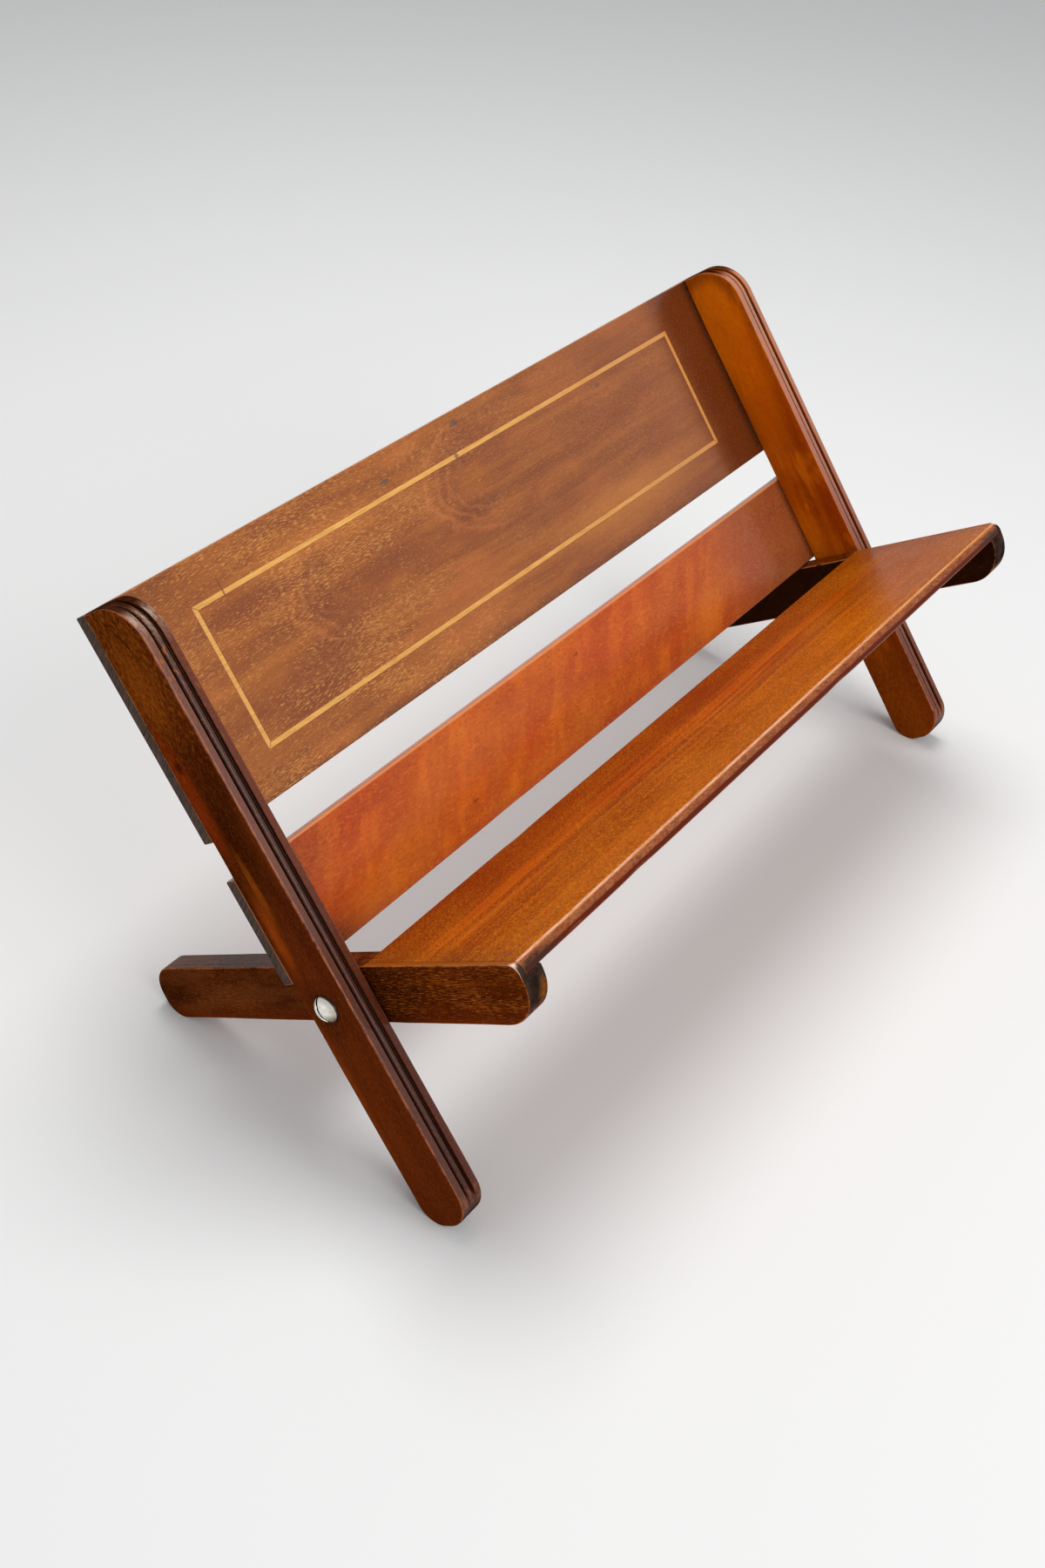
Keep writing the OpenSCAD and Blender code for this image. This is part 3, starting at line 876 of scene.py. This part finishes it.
def slat_marks(s, p, w):
    """Redder clouds on a slant, streaks, grit, dark spots, a browner left end, a duller right end painted as
    a reflection, and painted shade in the lower left corner and along the joints with the uprights.
    """
    slant = s.turned(p, 0.55, "Y_AXIS")
    cloud = s.noise(slant, (0.013, 0.05, 0.04), (4, 1, 8), rough=0.5)
    steep = s.turned(p, 0.9, "Y_AXIS")
    streak = s.noise(steep, (0.035, 0.12, 0.12), (1, 6, 3), detail=2, rough=0.5)
    grit = s.noise(p, (0.35, 0.6, 0.6), (3, 3, 3), rough=0.7)
    s.fades(
        (cloud, 0.48, 0.64, 0.45, (174, 56, 2)),
        (cloud, 0.5, 0.34, 0.4, (190, 98, 24)),
        (streak, 0.5, 0.68, 0.22, (146, 42, 4)),
        (streak, 0.5, 0.34, 0.3, (212, 106, 16)),
        (grit, 0.54, 0.7, 0.4, (148, 54, 8)),
        (grit, 0.46, 0.32, 0.3, (216, 120, 40)),
    )
    s.spots(p, SLAT_SPOTS, 0.6, (96, 34, 12))
    x, _, z = s.parts(p)
    s.fades(
        (z, SLAT_LOW + 5, SLAT_LOW, 0.5, (146, 44, 8)),
        # Painted reflection: the right end is duller and browner.
        (x, 90, 170, 0.8, (124, 68, 42)),
        (s.plus(cloud, 60, x), -110, -160, 0.7, (120, 52, 18)),
    )
    # Painted shade in the lower left corner.
    s.spots(p, SHADED_CORNER, 0.9, (84, 30, 8), 0.7, BROAD_REACH)
    # Painted shade along the joints with the uprights.
    s.fades((x, UPRIGHT_IN - 4.5, UPRIGHT_IN, 0.7, (48, 20, 12)))


def nose_highlight_and_wear(s, p, facing):
    """The front edge of shelf and arms: a pale line, a painted highlight and partly wear, above red-brown
    wood.
    """
    x, y, z = s.parts(p)
    front = facing[1]
    reach = s.times(s.fit(y, 6 - ARM_FRONT, 4 - ARM_FRONT), s.fit(z, 2.5, 4.5))
    patch = s.noise(p, (0.1, 0.3, 0.3), detail=4)
    rubbed = s.noise(p, (0.5, 1.6, 1.6))
    under = s.ramp(rubbed, (0.38, (100, 50, 32)), (0.64, (150, 90, 62)))
    under = s.blend(s.fit(patch, 0.42, 0.6, 0, 0.5), under, tone(118, 50, 22))
    under = s.blend(s.fit(front, 0.93, 0.98), under, tone(88, 28, 10))
    s.cover(s.times(s.fit(front, 0.58, 0.7), reach), under)
    # Painted highlight, partly wear: the pale line on a band of the rounded edge's slope.
    line = s.times(s.fit(front, 0.28, 0.4), s.fit(front, 0.62, 0.5))
    line = s.times(line, s.fit(s.math("ADD", patch, rubbed), 0.8, 1.08, 0.5, 1))
    pale = s.blend(s.fit(x, -20, 130), tone(212, 168, 142), tone(204, 146, 94))
    s.cover(s.times(line, reach), pale)


# With this seed the shelf's back edge is near y = 28 in its figure, and its front edge near y = -50.
SHELF_SEED = (5, 41, 3)


def shelf_marks(s, p, w):
    """Fine dark and golden stripes, redder behind, golden in front, duller toward the right end as a painted
    reflection of darker surroundings.
    """
    y = s.parts(w)[1]
    x = s.parts(p)[0]
    s.fades(
        (y, -16, 12, 0.92, (150, 43, 3)),
        (y, 20, 28, 0.5, (110, 32, 3)),
        (y, -14, -38, 0.6, (184, 94, 4)),
        (s.off(y, 1), 8, 1, 0.5, (206, 84, 6)),
        (s.off(y, 11), 3, 0.8, 0.55, (112, 44, 8)),
    )
    lines = s.noise(w, (0.005, 0.34, 0.34), (2, 5, 1), detail=4, rough=0.65)
    striped = s.fit(y, -40, -6, 0.4, 1)
    s.fades((lines, 0.5, 0.63, 0.8, (116, 42, 3)), (lines, 0.48, 0.35, 0.6, (206, 104, 6)), by=striped)
    s.fades((y, -6, 18, 0.75, (134, 38, 3)))
    grit = s.noise(p, (0.7, 0.9, 0.9), (3, 3, 3), rough=0.7)
    gritty = s.fit(y, 4, -30, 0.3, 1)
    s.fades((grit, 0.52, 0.66, 0.6, (128, 54, 2)), (grit, 0.48, 0.34, 0.6, (220, 124, 8)), by=gritty)
    s.fades(
        (y, 4, 30, 0.5, (118, 34, 4)),
        # Painted reflection: duller toward the right end, beyond the upright.
        (x, 60, 170, 0.5, (134, 66, 6)),
        (s.math("ABSOLUTE", x), 171, 183, 0.5, (120, 52, 12)),
    )


def shelf_veil(s, p, facing):
    """The front edge with its pale line, a painted highlight and partly wear, dark at both ends."""
    nose_highlight_and_wear(s, p, facing)
    x = s.math("ABSOLUTE", s.parts(p)[0])
    corner = s.times(s.fit(x, 158, 178), s.fit(facing[1], 0.72, 0.86))
    s.tint(corner, 0.85, (56, 36, 30))


LEFT_SEED = (40, 13, 7)
# Patches on the left upright's outer face: depth and height, half sizes, strength, tone.
LEFT_PATCH_REACH = 40
LEFT_PATCHES = (
    ((-1, 146), (18, 36), 0.8, (96, 43, 9)),
    ((0, 131), (11, 28), 0.7, (146, 72, 14)),
    ((-9, 95), (9, 36), 0.9, (54, 15, 3)),
    ((7, 90), (7, 38), 0.85, (140, 46, 8)),
    ((-3, 71), (10.5, 34), 0.95, (52, 15, 3)),
    ((2, 50), (3, 22), 0.8, (160, 76, 14)),
    ((6, 32), (5, 24), 0.8, (162, 70, 14)),
    ((-9, 30), (6, 60), 0.5, (66, 20, 6)),
    ((1, -2), (12, 18), 0.8, (66, 24, 11)),
    ((11, -36), (5, 50), 0.6, (140, 60, 16)),
    ((2, -60), (5, 34), 0.4, (122, 52, 16)),
)
# The hair line's two ends by height and depth, and a small dark knot.
HAIR_HEIGHTS, HAIR_DEPTHS, HAIR_BEND = (141.8, 161.6), (-4.5, 6.1), 1.35
KNOT_PLACE, KNOT_SIZE = (-HALF_W, 6.9, 101), (20, 2.6, 3.6)


def left_reeds(s, p):
    """Reeds of the left upright: grey-brown outside as a painted sheen, redder inside, a dark bead, darker
    toward the foot, and a pale painted highlight on the top round.
    """
    across, _, height = s.parts(p)
    bead = s.fit(s.off(across, UPRIGHT_X), REED_W / 2 + 0.1, REED_W / 2 - 0.3)
    # Painted sheen: the grey-brown outer reed stands for reflected light.
    reeds = s.blend(s.fit(across, 6 - HALF_W, 8 - HALF_W), tone(112, 76, 66), tone(98, 52, 38))
    reeds = s.blend(bead, reeds, tone(58, 41, 37))
    reeds = s.blend(s.fit(height, 70, 10, 0, 0.55), reeds, tone(52, 32, 27))
    # Painted highlight: pale grey on the reeds' top round.
    highlight_noise = s.noise(p, (0.9, 0.5, 0.5), (4, 4, 1), detail=4, rough=0.7)
    painted_highlight = s.times(s.fit(highlight_noise, 0.42, 0.62, 0.2, 0.8), s.fit(height, 140, 154))
    return s.blend(painted_highlight, reeds, tone(166, 146, 126))


def left_marks(s, p, w):
    """Amber above with a dark hair line, dark along the front, amber streaks below."""
    _, depth, height = s.parts(p)
    at = s.scaled(w, (1, 1, 1), tuple(-c for c in LEFT_SEED))
    ragged = s.noise(w, (0.5, 0.5, 0.07), detail=4, rough=0.65)
    ragged = s.fit(ragged, 0.36, 0.56, 0.65, 1)
    s.fades((height, 60, 20, 0.7, (100, 39, 12)))
    for centre, size, share, shade in LEFT_PATCHES:
        patch = s.spot(at, (-HALF_W, *centre), (LEFT_PATCH_REACH, *size), 0.85)
        s.tint(s.times(patch, ragged), share, shade)
    grit = s.noise(p, (0.8, 0.8, 0.4), (6, 1, 2), rough=0.7)
    gritty = s.fit(height, 84, 124, 0.24, 1)
    s.fades((grit, 0.5, 0.66, 0.6, (46, 15, 4)), (grit, 0.5, 0.34, 0.5, (160, 84, 20)), by=gritty)
    rise = s.math("POWER", s.fit(height, *HAIR_HEIGHTS, smooth=False), HAIR_BEND)
    hair = s.off(depth, s.fit(rise, 0, 1, *HAIR_DEPTHS, smooth=False))
    hair = s.times(s.fit(hair, 0.9, 0.1), s.fit(height, 139, 143))
    s.tint(hair, 0.7, (40, 16, 6))
    s.tint(s.spot(p, KNOT_PLACE, KNOT_SIZE, 0.7), 0.75, (44, 14, 3))
    s.cover(s.fit(s.facing(LEAN)[1], 0.45, 0.8, 0, 0.75), left_reeds(s, p))


def left_flecks(s, p):
    """Flecks mostly toward the top."""
    return s.fit(s.parts(p)[2], 90, 126, 0.12, 1)


RIGHT_SEED = (70, 31, 5)
# A painted highlight high on the right upright's inner face.
GLOW_PLACE, GLOW_SIZE = (HALF_W, 1, 104), (40, 15, 56)
TOP_CENTRE, TOP_SIZE = (HALF_W, TOP_R - PIVOT_FRONT, UPRIGHT_TOP - TOP_R), (999, TOP_R, TOP_R)


def right_marks(s, p, w):
    """Amber above with a painted highlight, redder along the front, a brown rim along the front and about
    the top corner that is painted shade, darker at the foot as painted shade under the shelf, and reeds
    paler above as a painted sheen.
    """
    depth = s.parts(w)[1]
    height = s.parts(p)[2]
    s.fades((height, 60, 140, 0.6, (236, 120, 6)))
    front = s.times(s.fit(depth, 30, 18), s.fit(height, 160, 90))
    s.tint(front, 0.45, (138, 42, 2))
    cloud = s.noise(p, (0.05, 0.1, 0.035), (2, 2, 6), rough=0.55)
    s.fades((cloud, 0.52, 0.66, 0.25, (150, 58, 2)))
    # Painted highlight: a brighter amber streak high on the face.
    s.tint(s.spot(p, GLOW_PLACE, GLOW_SIZE, 0.9), 0.55, (218, 100, 2))
    # Painted shade: a brown rim along the front edge and about the top corner.
    rim = s.times(s.fit(depth, 25, 19), s.fit(height, 96, 136))
    round_top = s.fit(s.away(p, TOP_CENTRE, TOP_SIZE), 0.5, 0.9)
    rim = s.most(rim, s.times(round_top, s.fit(height, 138, 147)))
    s.tint(rim, 0.7, (112, 40, 4))
    # The second fade is painted shade: darker at the foot, under the shelf.
    s.fades((cloud, 0.46, 0.34, 0.35, (240, 128, 10)), (height, 10, -60, 0.8, (84, 29, 3)))
    # Painted sheen: the reeds are greyer and paler toward the top.
    reeds = s.blend(s.fit(height, -80, 120), tone(96, 58, 50), tone(170, 122, 104))
    s.cover(s.fit(s.facing(LEAN)[1], 0.55, 0.9, 0, 0.85), reeds)


ARM_GLOW_PLACE, ARM_GLOW_SIZE = (0, 24, 2), (300, 16, 12)
GLINT_PLACE, GLINT_SIZE = (-ARM_OUT, 2 - ARM_FRONT, 7.4), (2, 3, 4)
BARE_PLACE, BARE_SIZE = (-178.6, -ARM_FRONT, -6), (4.6, 12, 8)
# Where the arms' inner faces start, painted dark as shade.
ARM_SHADED_INSIDE = (178, 177)


def arm_marks(s, p, w):
    """Redder along the bottom and behind the pivot, and darkest close in front of the upright as painted
    shade from it.
    """
    _, y, z = s.parts(p)
    s.fades((y, 0, 45, 0.7, (78, 35, 13)))
    cloud = s.noise(w, (0.1, 0.03, 0.1), (1, 4, 2), detail=4)
    behind = s.fit(y, 8, 24)
    s.fades((cloud, 0.48, 0.62, 0.7, (102, 52, 22)), (cloud, 0.48, 0.36, 0.7, (50, 20, 7)), by=behind)
    s.tint(s.spot(p, ARM_GLOW_PLACE, ARM_GLOW_SIZE, 0.85), 0.7, (154, 64, 14))
    s.fades((z, -6, -14, 0.55, (108, 38, 8)))
    # Painted shade close in front of the upright.
    near = s.times(s.fit(y, -44, -20), s.fit(y, 0, -10))
    s.tint(near, 0.6, (44, 13, 2))


def arm_flecks(s, p):
    """Flecks mostly in front of the pivot, and fewer along the bottom."""
    _, y, z = s.parts(p)
    return s.times(s.fit(y, 30, -20, 0.4, 1), s.fit(z, -14, -6, 0.35, 1))


def arm_veil(s, p, facing):
    """The lip is polished with the shelf; the nose takes its pale line, the outer front corner a painted
    glint, and the inner faces are painted nearly black as shade.
    """
    x, y, z = s.parts(p)
    top = s.times(s.fit(facing[2], 0.5, 0.8), s.fit(z, 6, 7))
    lip = s.times(top, s.fit(y, 1 - SHELF_BACK, -1 - SHELF_BACK))
    s.tint(lip, 0.8, (158, 82, 16))
    nose_highlight_and_wear(s, p, facing)
    x = s.math("ABSOLUTE", x)
    mirrored = s.node("CombineXYZ", {0: x, 1: y, 2: z}).outputs[0]
    # Painted highlight: a pale glint on the outer front corner.
    glint = s.spot(mirrored, GLINT_PLACE, GLINT_SIZE, 0.6)
    glint = s.times(glint, s.fit(facing[0], 0.97, 0.85))
    s.tint(glint, 0.9, (240, 224, 204))
    # Painted shade: the inner faces are nearly black.
    s.fades((x, *ARM_SHADED_INSIDE, 0.93, (26, 11, 5)))


def arm_cap(s, p, ends):
    """Cut ends stained nearly black, with bare wood low on the inner side of the left front one."""
    bare = s.spot(p, BARE_PLACE, BARE_SIZE, 0.8)
    grain = s.noise(p, (0.5, 0.5, 0.5), detail=4, rough=0.65)
    return s.blend(bare, ends, s.ramp(grain, (0.36, (74, 40, 16)), (0.64, (140, 84, 32))))


UPRIGHT_WOOD = dict(
    angle=LEAN, grain="z", fleck=(188, 102, 28), fleck_size=(3, 0.6), pores=0.25, worn=(196, 110, 66),
    wear=0.5, end=(64, 32, 18), end_from=(0.5, 0.85), rough=0.34, coat=0.4, specular=0,
)
left_wood = wood(
    "left_upright_wood", tones=((54, 17, 4), (90, 34, 8), (122, 54, 14)), seed=LEFT_SEED, stripe=0.24,
    swirl=4, flecks=0.4, cover=0.5, where=left_flecks, specks=0.14, marks=left_marks, **UPRIGHT_WOOD,
)
right_wood = wood(
    "right_upright_wood", tones=((126, 46, 2), (182, 82, 4), (214, 112, 10)), seed=RIGHT_SEED, stripe=0.12,
    swirl=6, shares=(0.4, 0.15, 0.8), flecks=0.15, marks=right_marks, **UPRIGHT_WOOD,
)
panel_wood = wood(
    "panel_wood", angle=LEAN, grain="x", tones=((118, 58, 17), (147, 80, 26), (166, 97, 36)), seed=(0, 0, 0),
    fleck=(216, 152, 74), fleck_size=(3.2, 0.44), flecks=0.52, cover=0.35, where=panel_flecks, pores=0.25,
    coat=0.36, specular=0.2, marks=panel_marks,
)
slat_wood = wood(
    "slat_wood", angle=LEAN, grain="x", tones=((150, 52, 3), (176, 71, 6), (192, 92, 15)), seed=(17, 3, 29),
    stripe=0.06, swirl=12, shares=(0.5, 0.15, 0.6), fleck=(220, 136, 44), fleck_size=(3, 0.6), flecks=0.1,
    pores=0.3, worn=(216, 146, 90), patchy=0.1, coat=0.22, specular=0.2, marks=slat_marks,
)
shelf_wood = wood(
    "shelf_wood", angle=SLOPE, grain="x", tones=((122, 38, 2), (156, 60, 3), (188, 89, 7)), seed=SHELF_SEED,
    stripe=0.11, swirl=3, fleck=(222, 138, 22), fleck_size=(1.6, 0.6), flecks=0.36, cover=0.6, specks=0.5,
    pores=0.3, wear=0.2, coat=0.03, specular=0.05, marks=shelf_marks, veil=shelf_veil,
)
arm_wood = wood(
    "arm_wood", angle=SLOPE, grain="y", tones=((54, 16, 3), (84, 29, 4), (102, 39, 6)), seed=(3, 9, 53),
    stripe=0.3, swirl=2, fleck=(206, 112, 38), fleck_size=(4.2, 0.36), flecks=0.52, cover=0.32,
    where=arm_flecks, pores=0.3, worn=(210, 122, 64), wear=0.45, patchy=0.34, end=(62, 46, 39),
    end_from=(0.5, 0.85), coat=0.35, specular=0, marks=arm_marks, veil=arm_veil, cap=arm_cap,
)


def box_wood():
    """Pale stringing, a little toned by polish, with dirt at its edges."""
    s = Shader("boxwood")
    p = s.local(LEAN)
    grain = s.noise(p, (0.12, 1.5, 1.5))
    s.colour = s.ramp(grain, (0.3, (192, 134, 58)), (0.55, (214, 156, 74)), (0.75, (226, 174, 94)))
    stain = s.noise(p, (0.045, 0.3, 0.3), (9, 2, 4), detail=4)
    x = s.parts(p)[0]
    s.fades((stain, 0.56, 0.74, 0.5, (172, 106, 48)), (x, -40, 150, 0.6, (182, 116, 52)))
    s.spots(p, STRING_STAINS, 0.7, (98, 52, 28), 0.4)
    s.tint(s.mark("edge"), 0.7, (138, 76, 34))
    return s.finish(
        Roughness=s.fit(stain, 0.3, 0.7, 0.26, 0.4, smooth=False), Specular_IOR_Level=0.35,
        Coat_Weight=0.3, Coat_Roughness=0.12, Normal=s.bump(grain, 0.08),
    )


# Painted shade on the lower front of the screw's head, and the distances from its axis where its face
# darkens toward the edge as a painted reflection of darker surroundings, then turns near black at the very
# edge.
SHADE_PLACE, SHADE_SIZE = (-HALF_W, -2.6, -3.4), (300, 3.4, 3.4)
SHADE_FROM, SHADE_TO, RIM_TO = 3, 5.2, 5.5


def metal(name, light, dull, rough, seed, tarnish, metallic=1, rim=False):
    """Handled metal: scratches, tarnish and painted shade in the slot; rim paints shade toward a screw
    head's edge, near black at the very edge.
    """
    s = Shader(name)
    p = s.vector("ADD", s.local(SLOPE), seed)
    patch = s.noise(p, (0.5, 0.5, 0.5), detail=5, rough=0.65)
    tarnished = [a * tarnish + b * (1 - tarnish) for a, b in zip(dull, light)]
    s.colour = s.ramp(patch, (0.38, light), (0.72, tarnished))
    if rim:
        at = s.local(SLOPE)
        off_axis = s.vector("LENGTH", s.scaled(at, (0, 1, 1)), out="Value")
        # Painted shade: the face darkens toward the edge and on its lower front.
        s.fades((off_axis, SHADE_FROM, SHADE_TO, 0.5, dull))
        s.tint(s.spot(at, SHADE_PLACE, SHADE_SIZE, 0.8), 0.75, dull)
        s.fades((off_axis, SHADE_TO, RIM_TO, 0.95, (12, 9, 6)))
    scratches = s.noise(p, (6, 1.2, 9), detail=2, rough=0.5)
    # Painted shade: the slot's inside is near black.
    dirt = s.fit(s.mark("groove"), 0.05, 0.45)
    s.cover(dirt, tone(8, 7, 5))
    gloss = s.fit(patch, 0.35, 0.7, rough, rough + 0.22, smooth=False)
    gloss = s.plus(dirt, 0.4, gloss)
    bump = s.bump(scratches, 0.06, SCRATCH_STEP)
    return s.finish(Metallic=metallic, Roughness=gloss, Normal=bump)


boxwood = box_wood()
nickel = metal("nickel", (252, 250, 240), (132, 116, 92), 0.2, (0, 0, 0), tarnish=0.3, rim=True)
brass = metal("brass", (176, 136, 66), (96, 66, 30), 0.34, (7, 3, 11), tarnish=0.8)
pin_steel = metal("pin_steel", (150, 84, 30), (112, 58, 22), 0.5, (3, 17, 5), tarnish=0.8, metallic=0.3)


# Pieces on the two bodies.

UPRIGHT_WEAR_SEED, ARM_WEAR_SEED, SIDE_SEED, SLAT_WEAR_SEED, SHELF_WEAR_SEED = 21, 47, 9, 5, 8
# Small fixings keep their solids and take a material.
FIXINGS = {"panel_screws": brass, "slat_screws": brass, "shelf_pins": pin_steel, "spacer_washer": brass}

for side, right in (("left", False), ("right", True)):
    skin = upright_mesh(side + "_upright_skin", right, UPRIGHT_WEAR_SEED + SIDE_SEED * right)
    timber = right_wood if right else left_wood
    new_piece(skin, "back_frame", "upright_mahogany", timber, side + "_upright")
    skin = arm_mesh(side + "_arm_skin", right, ARM_WEAR_SEED + SIDE_SEED * right)
    new_piece(skin, "shelf_frame", "arm_mahogany", arm_wood, side + "_arm")
    skin = pivot_screw_mesh(side + "_pivot_screw_skin", right)
    new_piece(skin, "shelf_frame", "nickel", nickel, side + "_pivot_screw")
    for node, material in FIXINGS.items():
        solid = bpy.data.objects[side + "_" + node].data
        solid.materials.clear()
        solid.materials.append(material)

panel = drilled(panel_mesh("panel_skin"), screw_holes(PANEL_LOW, UPRIGHT_TOP))
new_piece(panel, "back_frame", "panel_mahogany", panel_wood, "upper_back_panel")
slat = board_mesh(
    "slat_skin", (PIVOT_BACK, SLAT_LOW), (PANEL_BACK, SLAT_TOP),
    (BOARD_EASE, BOARD_EASE, BOARD_EASE, SLAT_EDGE_R), HALF_W, LEAN, BOARD_EASE, SLAT_DENT, SLAT_WEAR_SEED,
)
slat = drilled(slat, screw_holes(SLAT_LOW, SLAT_TOP))
new_piece(slat, "back_frame", "slat_mahogany", slat_wood, "lower_back_slat")
shelf = board_mesh(
    "shelf_skin", (-ARM_FRONT, ARM_ABOVE - SHELF_T), (-SHELF_BACK, ARM_ABOVE),
    (NOSE_UNDER_R, SHELF_EASE, SHELF_EASE, NOSE_R), -ARM_OUT - LIP_W, SLOPE, SHELF_END_EASE, SHELF_DENT,
    SHELF_WEAR_SEED,
)
new_piece(drilled(shelf, pin_holes()), "shelf_frame", "shelf_mahogany", shelf_wood, "shelf")
for name, across, sign in (("top", True, 1), ("bottom", True, -1), ("left", False, -1), ("right", False, 1)):
    string = string_mesh("string_" + name, across, sign)
    new_piece(string, "back_frame", "boxwood", boxwood, "inlay_" + name)



# Stage: a pale floor, soft light and the camera, in metres.

FLOOR_HALF, FLOOR_Z = 6, -0.0001
FLOOR_TONE, SKY_TONE = (0.78, 0.78, 0.77, 1), (0.96, 0.97, 1, 1)
SKY_LIGHT, SKY_SEEN = 0.45, 0.9


def floor_piece():
    corners = ((-1, -1), (1, -1), (1, 1), (-1, 1))
    mesh = bpy.data.meshes.new("floor")
    mesh.from_pydata([(x * FLOOR_HALF, y * FLOOR_HALF, FLOOR_Z) for x, y in corners], [], [(0, 1, 2, 3)])
    ground = new_object("floor", mesh)
    s = Shader("floor")
    s.colour = FLOOR_TONE
    mesh.materials.append(s.finish(Roughness=0.9, Specular_IOR_Level=0.1))


def lamp(name, place, aim, size, watts):
    data = bpy.data.lights.new(name, "AREA")
    data.shape = "DISK"
    data.size = size
    data.energy = watts
    made = new_object(name, data)
    made.location = place
    made.rotation_euler = (Vector(place) - Vector(aim)).to_track_quat("Z", "Y").to_euler()


floor_piece()
lamp("key", place=(0.15, 0.2, 1.3), aim=(0, 0, 0.08), size=0.7, watts=10)
lamp("fill", place=(-0.3, -1.3, 1), aim=(0, 0, 0.1), size=1.2, watts=12)

# The surroundings are pale to look at or to see mirrored, and give the object only a plain level of light.
sky = Shader("world", bpy.data.worlds, "Background", "Color")
sky.colour = SKY_TONE
rays = sky.node("LightPath").outputs
seen = sky.most(rays["Is Camera Ray"], rays["Is Glossy Ray"])
seen = sky.most(seen, rays["Is Transmission Ray"])
strength = sky.fit(seen, 0, 1, SKY_LIGHT, SKY_SEEN, smooth=False)
bpy.context.scene.world = sky.finish(Strength=strength)

# The camera as solved from the object's edges: focal length, picture height and shifts in pixels, the way it
# looks, its way up, and its place from the pivot line.
FOCAL, PICTURE_H, SHIFT_X, SHIFT_Y = 2023.905, 1800, 50, -55
SENSOR_H = 36
LOOK, UP = Vector((0.64434, 0.45106, -0.61755)), Vector((0.46377, 0.41162, 0.78453))
EYE = Vector((-0.528604, -0.287959, 0.469911))

camera_data = bpy.data.cameras.new("camera")
camera_data.sensor_fit = "VERTICAL"
camera_data.sensor_height = SENSOR_H
camera_data.lens = FOCAL * SENSOR_H / PICTURE_H
camera_data.shift_x, camera_data.shift_y = SHIFT_X / PICTURE_H, SHIFT_Y / PICTURE_H
camera_data.clip_start = 0.01
camera = new_object("camera", camera_data)
look = LOOK.normalized()
across = look.cross(UP).normalized()
above = across.cross(look)
turn = Matrix((across, above, -look)).transposed().to_4x4()
camera.matrix_world = Matrix.Translation(Vector(PIVOT) + EYE) @ turn
bpy.context.scene.camera = camera
bpy.context.scene.view_settings.view_transform = "Standard"
